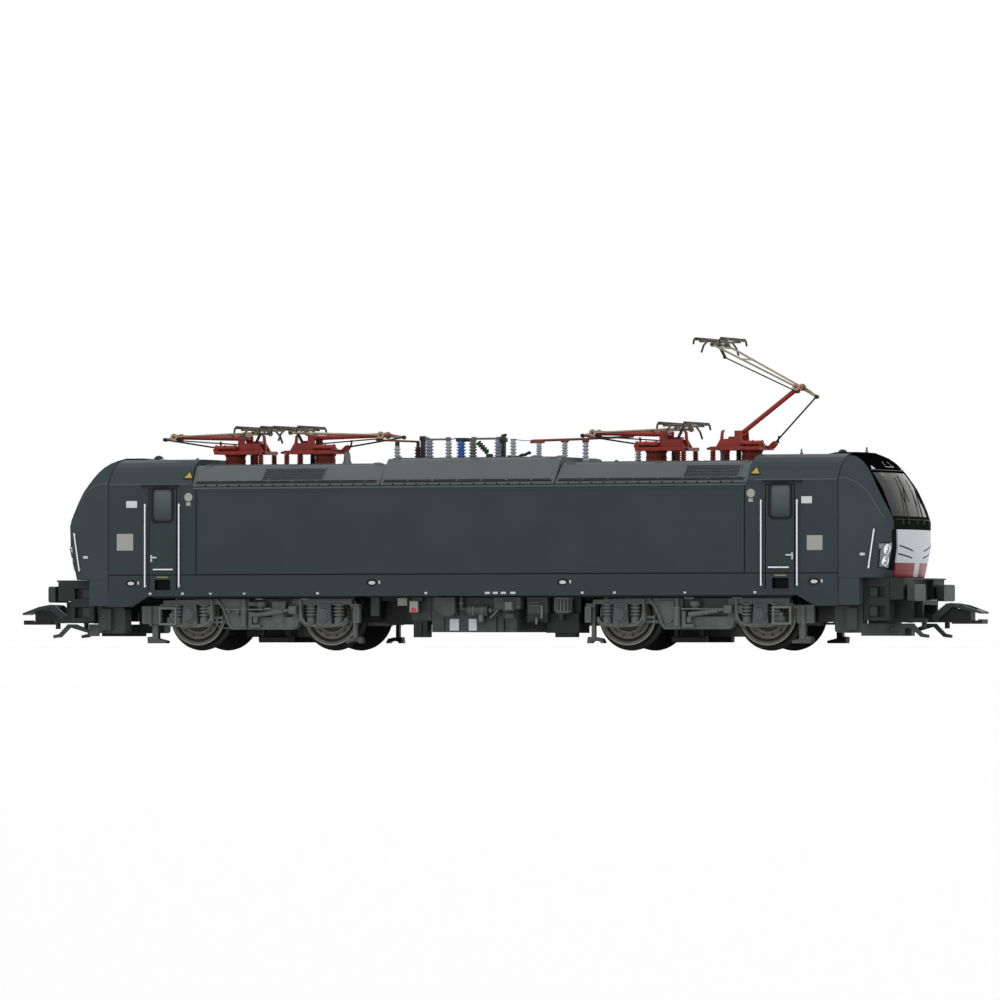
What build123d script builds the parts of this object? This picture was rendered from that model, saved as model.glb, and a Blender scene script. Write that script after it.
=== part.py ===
"""Small-scale (H0, 1:87) model of a four-axle electric locomotive with four pantographs.

Frame: X along the locomotive (+X is the front end), Y across (-Y is the near side), Z up.
Z = 0 is the lowest point of the wheel flanges, so the rail top is at Z = FLANGE.
All sizes in mm. Rest pose: pantograph 4 (nearest the +X end) raised, pantographs 1 to 3 folded.
"""
import math
import os

from build123d import *

# ---------------------------------------------------------------- driving dimensions
LENGTH = 218.2          # over the buffer faces
HALF_W = 17.3           # half body width
PIVOT_X = 54.6          # bogie pivots
WHEELBASE = 34.48       # axles of one bogie
TREAD_R = 7.0
FLANGE = 1.2            # flange height, also the level of the rail top
TYRE_IN = 7.15          # half back-to-back
TYRE_OUT = 10.0         # outer face of the wheels
AXLE_R = 1.0

SKIRT_Z = 11.55 + FLANGE      # lower edge of the body side
END_Z = 9.10 + FLANGE         # lower edge near the ends
BAND_Z = 16.6 + FLANGE        # seam over the lower band
GUTTER_Z = 37.3 + FLANGE      # lower edge of the roof hatches
BREAK_Z = 37.9 + FLANGE       # roof break of the cab part
ROOF_Z = 44.0 + FLANGE       # roof over the cabs
WALL = 1.3
NOSE_X = 91.75                # seam between body and nose
DECK_Z = 17.2                 # underside of the chassis floor
CP_X = 103.0                  # swing pin of the coupler shank

PARTS = os.path.join(os.path.dirname(os.path.abspath(__file__)), "parts")
nodes = {}


# ---------------------------------------------------------------- helpers
def bx(x0, x1, y0, y1, z0, z1):
    return Pos((x0 + x1) / 2, (y0 + y1) / 2, (z0 + z1) / 2) * Box(abs(x1 - x0), abs(y1 - y0), abs(z1 - z0))


def rbx(x0, x1, y0, y1, z0, z1, r, axis="z"):
    """Box with the four edges along one axis rounded."""
    b = bx(x0, x1, y0, y1, z0, z1)
    ax = {"x": Axis.X, "y": Axis.Y, "z": Axis.Z}[axis]
    return fillet(b.edges().filter_by(ax), r)


def cyl(p, q, r):
    """Round bar from p to q."""
    p, q = Vector(*p), Vector(*q)
    d = q - p
    return Plane(origin=p, z_dir=d.normalized()) * Cylinder(r, d.length, align=(Align.CENTER, Align.CENTER, Align.MIN))


def ring(p, q, r, bore):
    return cyl(p, q, r) - cyl(p, q, bore)


def xz(points, y0, y1):
    """Outline in X and Z, thick from y0 to y1."""
    f = make_face(Polyline(*[(x, y0, z) for x, z in points], close=True))
    return extrude(f, amount=y1 - y0, dir=(0, 1, 0))


def yz(points, x0, x1):
    f = make_face(Polyline(*[(x0, y, z) for y, z in points], close=True))
    return extrude(f, amount=x1 - x0, dir=(1, 0, 0))


def xy(points, z0, z1):
    f = make_face(Polyline(*[(x, y, z0) for x, y in points], close=True))
    return extrude(f, amount=z1 - z0, dir=(0, 0, 1))


def whole(s):
    """One compound of all the solids in s."""
    sol = [t for q in (s if isinstance(s, (list, tuple)) else [s]) for t in q.solids()]
    return sol[0] if len(sol) == 1 else Compound(sol)


def keep(a, b):
    return whole(whole(a) & whole(b))


def mir_x(s):
    return whole(s).mirror(Plane.YZ)


def mir_y(s):
    return whole(s).mirror(Plane.XZ)


def both_y(s):
    return [whole(s), mir_y(s)]


def both_x(s):
    return [whole(s), mir_x(s)]


def four(s):
    return [t for h in both_y(s) for t in both_x(h)]


def fuse(items):
    items = list(items)
    out = items[0]
    for i in items[1:]:
        out = out + i
    return out


def turn_z(s, deg, x=0.0, y=0.0):
    return Pos(x, y, 0) * Rot(0, 0, deg) * Pos(-x, -y, 0) * s


def add(name, *shapes):
    flat = []
    for s in shapes:
        if isinstance(s, (list, tuple)):
            flat += list(s)
        else:
            flat.append(s)
    nodes.setdefault(name, []).extend(flat)



def zf(points):
    return [(x, z + FLANGE) for x, z in points]


# ---------------------------------------------------------------- nose shape (shared by the shell, glass and front flap)
# half plan curve at the beak line: distance from the middle of the model, half width
PLAN = [(105.1, 0.0), (104.8, 5.5), (104.25, 9.2), (103.85, 11.0), (103.25, 13.5), (102.3, 16.0), (101.1, 17.0), (98.8, 17.27)]
# height above the rail, tip of the plan at the middle, plan at the sides, half width of the section
LEVELS = [
    (15.5, 104.0, 95.9, 17.3),
    (22.5, 105.1, 98.3, 17.3),
    (28.3, 105.1, 98.8, 17.3),
    (31.0, 104.1, 98.0, 17.3),
    (33.5, 102.95, 96.9, 17.3),
    (35.8, 101.9, 95.5, 17.3),
    (37.1, 101.2, 94.3, 17.3),
    (37.9, 100.75, 93.3, 17.3),
    (38.8, 100.1, 93.0, 16.8),
    (39.8, 99.3, 92.8, 16.15),
    (41.0, 98.2, 92.6, 15.15),
    (42.2, 96.8, 92.4, 13.75),
    (43.15, 95.3, 92.25, 12.0),
    (43.75, 94.0, 92.15, 10.0),
    (44.1, 93.2, 92.1, 8.0),
    (44.4, 92.7, 92.05, 6.5),
]


def nose(off=0.0, x_back=NOSE_X, z_low=None):
    """Solid nose of the +X end, shrunk by off all round (grown when off is negative)."""
    wires = []
    for i, (z, tip, side, hw) in enumerate(LEVELS):
        zz = z + FLANGE
        if i == len(LEVELS) - 1:
            zz -= off
        if i == 0 and z_low is not None:
            zz = z_low
        k = (tip - side) / (PLAN[0][0] - PLAN[-1][0])
        pts = [(max(side + (x - PLAN[-1][0]) * k - off, x_back + 0.05), y * (hw - off) / 17.3, zz) for x, y in PLAN]
        full = [(x, -y, z_) for x, y, z_ in reversed(pts[1:])] + pts
        sp = Spline(*full)
        a = Line((x_back, full[0][1], zz), full[0])
        b = Line(full[-1], (x_back, full[-1][1], zz))
        c = Line((x_back, full[-1][1], zz), (x_back, full[0][1], zz))
        wires.append(Wire([a, sp, b, c]))
    return Solid.make_loft(wires, ruled=True)


def nose_at(y, z):
    """Distance from the middle of the model to the nose surface at width y and height z above the rail."""
    for (z0, t0, s0, w0), (z1, t1, s1, w1) in zip(LEVELS, LEVELS[1:]):
        if z <= z1:
            break
    f = (z - z0) / (z1 - z0)
    tip, side, hw = t0 + (t1 - t0) * f, s0 + (s1 - s0) * f, w0 + (w1 - w0) * f
    yy = abs(y) * 17.3 / hw
    for (xa, ya), (xb, yb) in zip(PLAN, PLAN[1:]):
        if yy <= yb:
            break
    x = xa + (xb - xa) * (yy - ya) / (yb - ya)
    return side + (x - PLAN[-1][0]) * (tip - side) / (PLAN[0][0] - PLAN[-1][0])


# ---------------------------------------------------------------- body shell
ROOF = [(17.3, 37.9), (16.8, 38.8), (16.15, 39.8), (15.15, 41.0), (13.75, 42.2), (12.0, 43.15), (10.0, 43.75), (8.0, 44.0)]   # half width, height above the rail


def body_profile(off=0.0, z0=END_Z):
    right = [(HALF_W - off, z0)] + [(y - off * (1.0, 0.95, 0.85, 0.75, 0.65, 0.6, 0.5, 0.4)[i], z + FLANGE - off * (0.2, 0.35, 0.5, 0.6, 0.75, 0.85, 0.95, 1.0)[i]) for i, (y, z) in enumerate(ROOF)]
    return right + [(-y, z) for y, z in reversed(right)]


HATCH_CUT = [(-69.9, GUTTER_Z), (69.7, GUTTER_Z), (69.2, ROOF_Z + 6), (-72.8, ROOF_Z + 6)]

shell = yz(body_profile(0.0), -NOSE_X, NOSE_X) - yz(body_profile(WALL, END_Z - 1), -NOSE_X - 1, NOSE_X + 1)
shell = shell - xz(HATCH_CUT, -30, 30)
# low lid over the middle of the roof next to each nose
for sx in (-1, 1):
    shell = shell + xz([(sx * 84.7, 43.9 + FLANGE), (sx * 87.4, 44.4 + FLANGE), (sx * NOSE_X, 44.4 + FLANGE), (sx * NOSE_X, 43.0 + FLANGE), (sx * 84.7, 43.0 + FLANGE)], -6.5, 6.5)
low = [(-81.7, SKIRT_Z), (-86.2, END_Z), (-86.2, 0), (86.2, 0), (86.2, END_Z), (81.7, SKIRT_Z)]
shell = shell - xz(low, -30, 30)

GV = 0.22   # groove width and depth
DOOR = (74.1, 81.2)
WIN = (75.25, 80.2, 29.3 + FLANGE, 36.8 + FLANGE)
STEP = (75.7, 79.7, 13.0 + FLANGE, 15.5 + FLANGE)
for sy in (-1, 1):
    yo, yi = sy * (HALF_W + 1), sy * (HALF_W - GV)
    for sx in (-1, 1):
        d0, d1 = DOOR
        for gx in (d0, d1):
            shell = shell - bx(sx * (gx - GV / 2), sx * (gx + GV / 2), yo, yi, 13.0 + FLANGE, GUTTER_Z - 0.3)
        shell = shell - bx(sx * d0, sx * d1, yo, yi, GUTTER_Z - 0.52, GUTTER_Z - 0.3)
        shell = shell - bx(sx * (69.0 - GV / 2), sx * (69.0 + GV / 2), yo, yi, BAND_Z, GUTTER_Z + 0.2)
        # window opening with rounded corners
        w = bx(sx * WIN[0], sx * WIN[1], sy * (HALF_W + 2), sy * (HALF_W - 4), WIN[2], WIN[3])
        w = fillet(w.edges().filter_by(Axis.Y), 0.8)
        shell = shell - w
        shell = shell - bx(sx * STEP[0], sx * STEP[1], yo, sy * (HALF_W - 0.95), STEP[2], STEP[3])
    shell = shell - bx(-NOSE_X - 1, NOSE_X + 1, yo, yi, BAND_Z - GV / 2, BAND_Z + GV / 2)
add("body_shell", shell)

# glass of the four cab door windows
for sy in (-1, 1):
    for sx in (-1, 1):
        g = bx(sx * (WIN[0] + 0.06), sx * (WIN[1] - 0.06), sy * (HALF_W - 0.25), sy * (HALF_W - 0.85), WIN[2] + 0.06, WIN[3] - 0.06)
        add("door_windows", fillet(g.edges().filter_by(Axis.Y), 0.75))

# ---------------------------------------------------------------- noses
WS_Z0, WS_Z1 = 29.5 + FLANGE, 39.8 + FLANGE
ws_open = yz([(-12.1, WS_Z0), (12.1, WS_Z0), (11.1, WS_Z1), (-11.1, WS_Z1)], 90, 110)
ws_pane = yz([(-12.03, WS_Z0 + 0.07), (12.03, WS_Z0 + 0.07), (11.03, WS_Z1 - 0.07), (-11.03, WS_Z1 - 0.07)], 90, 110)
FLAP = [(-10.5, 15.6 + FLANGE), (10.5, 15.6 + FLANGE), (11.3, 26.6 + FLANGE), (-11.3, 26.6 + FLANGE)]
FLAP_IN = [(-10.4, 15.7 + FLANGE), (10.4, 15.7 + FLANGE), (11.2, 26.5 + FLANGE), (-11.2, 26.5 + FLANGE)]
LAMP = [(12.7, 17.6 + FLANGE), (16.0, 17.8 + FLANGE), (16.7, 23.4 + FLANGE), (12.9, 23.6 + FLANGE)]
LAMP_IN = [(12.78, 17.68 + FLANGE), (15.93, 17.87 + FLANGE), (16.6, 23.32 + FLANGE), (12.98, 23.52 + FLANGE)]

full_nose = nose(0.0)
nose_shell = whole(full_nose - nose(1.2, NOSE_X - 1, z_low=15.5 + FLANGE + 1.2))
nose_shell = whole(nose_shell - ws_open)
skin = whole(full_nose - nose(0.5))
deep_skin = whole(full_nose - nose(0.7))
flap_box = yz(FLAP, 96, 110)
lamp_box = yz(LAMP, 94, 110)
nose_shell = whole(nose_shell - keep(skin, flap_box))
for bb in both_y(lamp_box):
    nose_shell = whole(nose_shell - keep(deep_skin, bb))
# lower block under the nose, closing the side below the beak
low_block = bx(NOSE_X, 96.8, -HALF_W + 0.1, HALF_W - 0.1, END_Z + 0.2, 15.5 + FLANGE) - bx(NOSE_X - 1, 96.8 - 1.2, -HALF_W + 1.3, HALF_W - 1.3, END_Z - 1, 15.5 + FLANGE + 2)
nose_front = whole(nose_shell + low_block)
add("cab_nose_front", nose_front)
add("cab_nose_rear", mir_x(nose_front))

screen = keep(whole(nose(0.18) - nose(0.8)), ws_pane)
add("windscreens", both_x(screen))

flap = keep(whole(nose(-0.3) - nose(0.47)), yz(FLAP_IN, 96, 110))
groove_skin = whole(nose(-2) - nose(0.0))
for sy in (-1, 1):
    for za, zb in ((21.5, 22.7), (19.9, 20.8)):
        f = yz([(sy * 3.6, za + FLANGE), (sy * 10.6, zb + FLANGE), (sy * 10.6, zb + 0.32 + FLANGE), (sy * 3.6, za + 0.32 + FLANGE)], 96, 110)
        flap = whole(flap - keep(groove_skin, f))
add("front_flaps", both_x(flap))

lamp = keep(whole(nose(0.0) - nose(0.66)), yz(LAMP_IN, 94, 110))
add("headlights", four(lamp))

# ---------------------------------------------------------------- roof hatches
HATCHES = {  # name: x0, x1, slant at x0, slant at x1, top
    "roof_hatch_rear": (-69.8, -22.15, -1.4, 0.0, 42.5),
    "roof_hatch_middle": (-21.85, 21.85, 0.0, 0.0, 43.75),
    "roof_hatch_front": (22.15, 69.6, 0.0, 0.3, 42.5),
}
GRILLES = {"roof_hatch_rear": (-52.4, -37.2), "roof_hatch_front": (53.7, 67.0)}
for name, (x0, x1, s0, s1, top) in HATCHES.items():
    t = top + FLANGE
    prof = [(-17.3, GUTTER_Z + 0.06), (17.3, GUTTER_Z + 0.06), (17.3, GUTTER_Z + 0.5), (12.9, t - 0.5), (12.0, t - 0.1), (9.0, t),
            (-9.0, t), (-12.0, t - 0.1), (-12.9, t - 0.5), (-17.3, GUTTER_Z + 0.5)]
    prof_in = [(-15.9, GUTTER_Z - 1), (15.9, GUTTER_Z - 1), (15.9, GUTTER_Z + 0.2), (11.9, t - 1.6), (9.0, t - 1.2), (-9.0, t - 1.2), (-11.9, t - 1.6), (-15.9, GUTTER_Z + 0.2)]
    h = yz(prof, min(x0, x0 + s0), x1) - yz(prof_in, x0 + 1.2, x1 - 1.2)
    if s0:
        h = h - xz([(x0 - 4, GUTTER_Z), (x0, GUTTER_Z), (x0 + s0, t + 1), (x0 - 4, t + 1)], -30, 30)
    if s1:
        h = h - xz([(x1 + 1, GUTTER_Z), (x1, GUTTER_Z), (x1 - s1, t + 1), (x1 + 1, t + 1)], -30, 30)
    if name in GRILLES:
        g0, g1 = GRILLES[name]
        # louvred grille sunk in both slopes: a row of upright slots
        n = int((g1 - g0) / 0.75)
        for sy in (-1, 1):
            for i in range(n):
                gx = g0 + 0.4 + i * 0.75
                sl = Pos(gx, sy * 15.1, 40.6 + FLANGE - 0.25) * Rot(sy * 42.5, 0, 0) * Box(0.35, 0.5, 4.2)
                h = h - sl
    # row of small slots along the foot
    i = 0
    sx = x0 + 3.0
    while sx < x1 - 3.0:
        for sy in (-1, 1):
            h = h - bx(sx, sx + 0.5, sy * 17.6, sy * 16.95, GUTTER_Z + 0.16, GUTTER_Z + 0.42)
        sx += 2.9
    add(name, h)

# ---------------------------------------------------------------- chassis floor, motor block, cab interiors
floor = bx(-90.5, 90.5, -15.9, 15.9, DECK_Z, DECK_Z + 1.6)
for sx in (-1, 1):
    floor = floor + cyl((sx * PIVOT_X, 0, DECK_Z - 1.2), (sx * PIVOT_X, 0, DECK_Z), 3.0)
floor = floor + bx(-27.0, 27.0, -14.0, 14.0, 12.4, DECK_Z)
add("chassis_frame", floor)
add("motor_block", bx(-26, 26, -9.5, 9.5, DECK_Z + 1.66, 33.0))

for sx in (-1, 1):
    d = [bx(sx * 71.6, sx * 72.4, -15.7, 15.7, DECK_Z + 1.66, GUTTER_Z + 0.4)]
    d.append(xz([(sx * 96.6, DECK_Z + 1.7), (sx * 92.0, DECK_Z + 1.7), (sx * 92.0, 26.0), (sx * 94.6, 29.4), (sx * 98.2, 28.6), (sx * 98.2, 26.0), (sx * 96.6, 24.0)], -11.5, 11.5))
    seat = bx(sx * 83.2, sx * 87.4, -2.6, 2.6, 25.0, 26.2) + bx(sx * 82.4, sx * 83.3, -2.4, 2.4, 25.2, 33.4) + bx(sx * 84.4, sx * 86.2, -0.9, 0.9, DECK_Z + 1.7, 25.2)
    d.append(seat)
    add("cab_interiors", d)

# ---------------------------------------------------------------- underfloor equipment
# x0, x1, y0, y1, z0, z1 above the rail; the near side is -Y
UF = {
    "tank": [(-10.2, 6.0, -13.8, 13.8, 3.1, 11.35), (5.9, 11.3, -13.6, 13.6, 3.1, 11.35), (6.2, 12.8, -15.6, -13.0, 8.4, 11.2), (8.5, 11.2, -15.9, -13.0, 8.0, 10.4),
             (8.9, 11.0, -15.4, -13.0, 6.3, 7.4), (9.6, 11.3, -14.4, -13.0, 3.1, 6.4), (2.1, 3.4, -15.4, -13.0, 5.4, 7.4),
             (-9.4, 9.6, 13.0, 15.2, 4.2, 10.4), (-4.5, 3.0, 15.0, 15.9, 6.0, 9.8)],
    "left": [(-23.4, -16.7, -10.0, 10.0, 4.9, 11.35), (-26.0, -23.6, -13.2, -11.0, 6.9, 11.35), (-23.7, -16.7, -12.6, -9.8, 10.4, 11.35), (-16.8, -10.6, -13.2, 13.2, 5.7, 11.35), (-15.05, -11.6, -13.4, -10.6, 1.9, 5.9), (-15.5, -13.1, -15.0, -13.0, 7.6, 10.5), (-15.0, -12.4, -14.4, -13.0, 10.3, 11.3),
             (-13.4, -12.9, -13.8, -13.0, 2.2, 5.6)],
    "mid": [(14.0, 19.0, -14.4, 14.4, 5.3, 11.35), (14.5, 18.2, -14.8, -14.2, 6.0, 9.6), (15.4, 17.6, -12.0, 12.0, 3.1, 5.5), (16.2, 16.9, -15.0, -13.8, 4.9, 6.9)],
    "right": [(18.0, 26.2, -12.6, -6.0, 2.9, 7.4), (18.0, 27.6, -8.8, 8.8, 4.9, 11.35), (18.9, 26.2, -11.4, 11.4, 6.2, 11.35), (18.0, 26.2, 6.0, 12.6, 4.6, 7.4), (20.1, 25.1, -12.2, -9.6, 1.9, 3.0), (22.0, 22.9, -14.4, -12.4, 6.0, 7.4)],
}
UF_EXTRA = {
    "tank": [xz([(-9.0, 11.4 + FLANGE), (-3.6, 11.4 + FLANGE), (-3.6, 7.6 + FLANGE), (-4.6, 6.8 + FLANGE), (-6.6, 6.8 + FLANGE), (-9.0, 8.8 + FLANGE)], -15.9, -13.6),
             cyl((-0.3, -14.9, 8.1 + FLANGE), (4.4, -14.9, 8.1 + FLANGE), 1.1), cyl((-0.6, -14.9, 8.1 + FLANGE), (-0.2, -14.9, 8.1 + FLANGE), 1.3), cyl((3.7, -14.9, 8.1 + FLANGE), (4.1, -14.9, 8.1 + FLANGE), 1.3),
             cyl((-2.3, -15.0, 11.2 + FLANGE), (-2.3, -15.0, 8.6 + FLANGE), 0.45), cyl((-2.3, -15.0, 8.6 + FLANGE), (-0.4, -15.0, 8.1 + FLANGE), 0.45), Pos(-2.3, -15.0, 8.6 + FLANGE) * Sphere(0.5),
             cyl((4.2, -14.9, 8.1 + FLANGE), (7.0, -14.9, 8.3 + FLANGE), 0.4), cyl((7.0, -14.9, 8.3 + FLANGE), (7.4, -14.9, 9.2 + FLANGE), 0.4), Pos(7.0, -14.9, 8.3 + FLANGE) * Sphere(0.42),
             cyl((4.6, -14.2, 6.2 + FLANGE), (7.2, -14.2, 7.6 + FLANGE), 0.3)],
    "left": [],
    "mid": [],
    "right": [cyl((22.4, -12.2, 7.2 + FLANGE), (22.4, -12.2, 11.3 + FLANGE), 2.2), cyl((20.7, -12.6, 7.6 + FLANGE), (20.7, -12.6, 11.2 + FLANGE), 0.5), cyl((24.2, -12.6, 7.6 + FLANGE), (24.2, -12.6, 11.2 + FLANGE), 0.5)],
}
for key, rows in UF.items():
    s_ = fuse([bx(x0, x1, y0, y1, z0 + FLANGE, min(z1, 11.2) + FLANGE) for x0, x1, y0, y1, z0, z1 in rows] + UF_EXTRA[key])
    add("underfloor_equipment", s_ - bx(-30, 30, -20, 20, 12.4, 20))

# ---------------------------------------------------------------- buffer beams, buffers, ploughs
for sx in (-1, 1):
    b = bx(sx * 96.87, sx * 103.0, -14.2, 14.2, 10.3 + FLANGE, 15.4 + FLANGE)
    for sy in (-1, 1):
        # side boxes with two square windows each, and the buffer housing in front
        box = bx(sx * 96.87, sx * 103.0, sy * 10.2, sy * 14.2, 5.7 + FLANGE, 10.3 + FLANGE)
        for z0, z1 in ((6.5, 9.1), (11.0, 13.5)):
            win = bx(sx * 98.1, sx * 102.0, sy * 15.0, sy * 12.9, z0 + FLANGE, z1 + FLANGE)
            if z0 < 10:
                box = box - win
                box = box + bx(sx * 99.7, sx * 100.1, sy * 13.7, sy * 12.7, z0 + FLANGE, z1 + FLANGE)
            else:
                b = b - win
                b = b + bx(sx * 99.7, sx * 100.1, sy * 13.7, sy * 12.7, z0 + FLANGE, z1 + FLANGE)
        b = b + box
        b = b + bx(sx * 102.9, sx * 106.4, sy * 6.2, sy * 14.0, 10.5 + FLANGE, 15.2 + FLANGE)
    # middle part between the buffers and the coupler pocket, open below and in front
    b = b + bx(sx * 102.9, sx * 105.2, -6.4, 6.4, 10.3 + FLANGE, 15.1 + FLANGE)
    b = b + bx(sx * 98.0, sx * 108.0, -5.3, 5.3, 9.3 + FLANGE, 10.4 + FLANGE)
    for sy in (-1, 1):
        b = b + bx(sx * 98.0, sx * 108.0, sy * 4.4, sy * 5.3, 5.3 + FLANGE, 9.4 + FLANGE)
    b = b + bx(sx * 98.0, sx * 99.0, -5.3, 5.3, 5.3 + FLANGE, 9.4 + FLANGE)
    b = b + cyl((sx * CP_X, 0, 5.2 + FLANGE), (sx * CP_X, 0, 9.4 + FLANGE), 0.7)
    for sy in (-1, 1):
        b = b + bx(sx * 98.0, sx * 109.9, sy * 6.9, sy * 8.9, 5.3 + FLANGE, 6.3 + FLANGE) + bx(sx * 98.0, sx * 106.6, sy * 6.9, sy * 8.9, 6.2 + FLANGE, 10.4 + FLANGE)
        b = b + bx(sx * 98.0, sx * 99.0, sy * 5.2, sy * 7.0, 5.3 + FLANGE, 9.4 + FLANGE)
        b = b + cyl((sx * 109.3, sy * 7.9, 3.9 + FLANGE), (sx * 109.3, sy * 7.9, 5.4 + FLANGE), 0.6)
    # cover plate over the beam
    b = b + bx(sx * 102.0, sx * 106.8, -14.0, 14.0, 15.1 + FLANGE, 15.45 + FLANGE)
    add("buffer_beams", b)
    for sy in (-1, 1):
        shank = cyl((sx * 106.45, sy * 10.06, 12.07 + FLANGE), (sx * 107.4, sy * 10.06, 12.07 + FLANGE), 1.45)
        plate = rbx(sx * 107.3, sx * 109.1, sy * 6.3, sy * 13.8, 10.15 + FLANGE, 14.0 + FLANGE, 0.7, "x")
        add("buffers", shank + plate)
    # curved plough blade with its two brackets, and a rounded sand box behind it on each side
    bl = [(96.6, -13.2), (100.4, -9.6), (102.2, -5.6), (102.8, 0.0), (102.2, 5.6), (100.4, 9.6), (96.6, 13.2)]
    pl = xy([(sx * x, y) for x, y in bl] + [(sx * (x - 0.7), y) for x, y in reversed(bl)], 2.2 + FLANGE, 5.05 + FLANGE)
    pl = pl - bx(sx * 94, sx * 104, -2.2, 2.2, 0, 4.0 + FLANGE)
    for sy in (-1, 1):
        pl = pl + bx(sx * 95.0, sx * 96.3, sy * 10.0, sy * 13.2, 2.9 + FLANGE, 9.2 + FLANGE)
        # bent guard over the rail in front of the wheels
        guard = xz(zf([(sx * x, z) for x, z in ((99.6, 3.2), (104.6, 5.05), (106.6, 5.05), (108.9, 2.75), (110.4, 2.45), (110.4, 1.75), (108.5, 1.95), (106.0, 4.3), (100.0, 2.6))]), min(sy * 7.45, sy * 8.35), max(sy * 7.45, sy * 8.35))
        pl = pl + guard
        tank = rbx(sx * 89.4, sx * 95.1, sy * 9.4, sy * 13.0, 2.9 + FLANGE, 9.0 + FLANGE, 0.8, "y")
        tank = tank + bx(sx * 92.6, sx * 95.1, sy * 12.8, sy * 14.0, 3.6 + FLANGE, 8.6 + FLANGE)
        pl = pl + tank + bx(sx * 91.9, sx * 95.4, sy * 9.6, sy * 12.8, 8.4 + FLANGE, 12.0)
        pl = pl + bx(sx * 95.0, sx * 96.8, sy * 10.4, sy * 12.8, 9.0, 10.44)
    add("rail_ploughs", pl)

# ---------------------------------------------------------------- handrails (white wire) beside the doors and on the nose
for sy in (-1, 1):
    for sx in (-1, 1):
        for hx in (73.2, 82.0):
            rail = cyl((sx * hx, sy * 17.95, 13.7 + FLANGE), (sx * hx, sy * 17.95, 33.4 + FLANGE), 0.17)
            for hz in (14.1, 33.0):
                rail = rail + cyl((sx * hx, sy * 17.36, hz + FLANGE), (sx * hx, sy * 17.95, hz + FLANGE), 0.15)
            add("handrails", rail)
        # short bar low on the door
        bar_ = cyl((sx * 74.9, sy * 17.75, 17.9 + FLANGE), (sx * 79.9, sy * 17.75, 17.9 + FLANGE), 0.16)
        for hx in (75.1, 79.7):
            bar_ = bar_ + cyl((sx * hx, sy * 17.36, 17.9 + FLANGE), (sx * hx, sy * 17.75, 17.9 + FLANGE), 0.18)
        add("handrails", bar_)
        # upright bar beside the headlights
        p0, p1 = (sx * 100.6, sy * 17.62, 26.6 + FLANGE), (sx * 99.2, sy * 17.62, 17.6 + FLANGE)
        nr = cyl(p1, p0, 0.16) + cyl((sx * 100.5, sy * 17.22, 26.2 + FLANGE), (sx * 100.5, sy * 17.62, 26.2 + FLANGE), 0.17) + cyl((sx * 99.26, sy * 17.22, 18.0 + FLANGE), (sx * 99.26, sy * 17.62, 18.0 + FLANGE), 0.17)
        add("handrails", nr)

# windscreen wipers, standing just off the glass: foot (y, z) and tip (y, z)
for sx in (-1, 1):
    for (y0, z0), (y1, z1) in (((-6.3, 28.9), (-1.6, 36.6)), ((3.0, 28.9), (7.2, 36.2))):
        foot = (sx * (nose_at(y0, z0) + 0.14), y0, z0 + FLANGE)
        foot2 = (sx * (nose_at(y0, z0) + 0.5), y0, z0 + FLANGE)
        tip = (sx * (nose_at(y1, z1) + 0.42), y1, z1 + FLANGE)
        w = cyl(foot, foot2, 0.32) + cyl(foot2, tip, 0.13) + Pos(*tip) * Sphere(0.14)
        ya, yb = y1 - 0.5, y1 + 0.45
        za, zb = z1 - 3.6, z1 + 2.4
        w = w + cyl((sx * (nose_at(ya, za) + 0.4), ya, za + FLANGE), tip, 0.12) + cyl(tip, (sx * (nose_at(yb, zb) + 0.4), yb, zb + FLANGE), 0.12)
        add("wipers", w)

# ---------------------------------------------------------------- wheelsets
def wheel(sy):
    prof = [(AXLE_R, TYRE_IN + 0.5), (4.9, TYRE_IN + 0.5), (5.2, TYRE_IN), (TREAD_R + FLANGE - 0.25, TYRE_IN), (TREAD_R + FLANGE, TYRE_IN + 0.3),
            (TREAD_R + FLANGE - 0.1, TYRE_IN + 0.62), (TREAD_R + 0.15, TYRE_IN + 0.85), (TREAD_R, TYRE_OUT - 0.15), (TREAD_R - 0.15, TYRE_OUT),
            (6.2, TYRE_OUT), (6.0, TYRE_OUT - 0.8), (5.6, TYRE_OUT - 0.8), (5.5, TYRE_OUT - 0.35), (3.9, TYRE_OUT - 0.35), (3.8, TYRE_OUT - 0.8),
            (2.3, TYRE_OUT - 0.6), (2.1, TYRE_OUT + 0.2), (AXLE_R, TYRE_OUT + 0.2)]
    f = make_face(Polyline(*[(r, y, 0) for r, y in prof], close=True))
    w = revolve(f, Axis.Y, 360)
    # ring of bolts in the brake disc
    for i in range(12):
        a = math.radians(i * 30 + 15)
        w = w - cyl((4.75 * math.cos(a), TYRE_OUT + 0.1, 4.75 * math.sin(a)), (4.75 * math.cos(a), TYRE_OUT - 0.65, 4.75 * math.sin(a)), 0.26)
    return w if sy > 0 else mir_y(w)


WHEEL_Z = TREAD_R + FLANGE
wset = cyl((0, -13.6, 0), (0, 13.6, 0), AXLE_R)
for sy in (-1, 1):
    wset = wset + wheel(sy)
wset = wset + cyl((0, -2.2, 0), (0, 2.2, 0), 3.0)
AXLES = [-PIVOT_X - WHEELBASE / 2, -PIVOT_X + WHEELBASE / 2, PIVOT_X - WHEELBASE / 2, PIVOT_X + WHEELBASE / 2]
for i, ax in enumerate(AXLES, 1):
    add(f"wheelset_{i}", Pos(ax, 0, WHEEL_Z) * wset)

# ---------------------------------------------------------------- bogies (modelled about their own pivot, mirrored for the other end)
hb = WHEELBASE / 2


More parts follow.
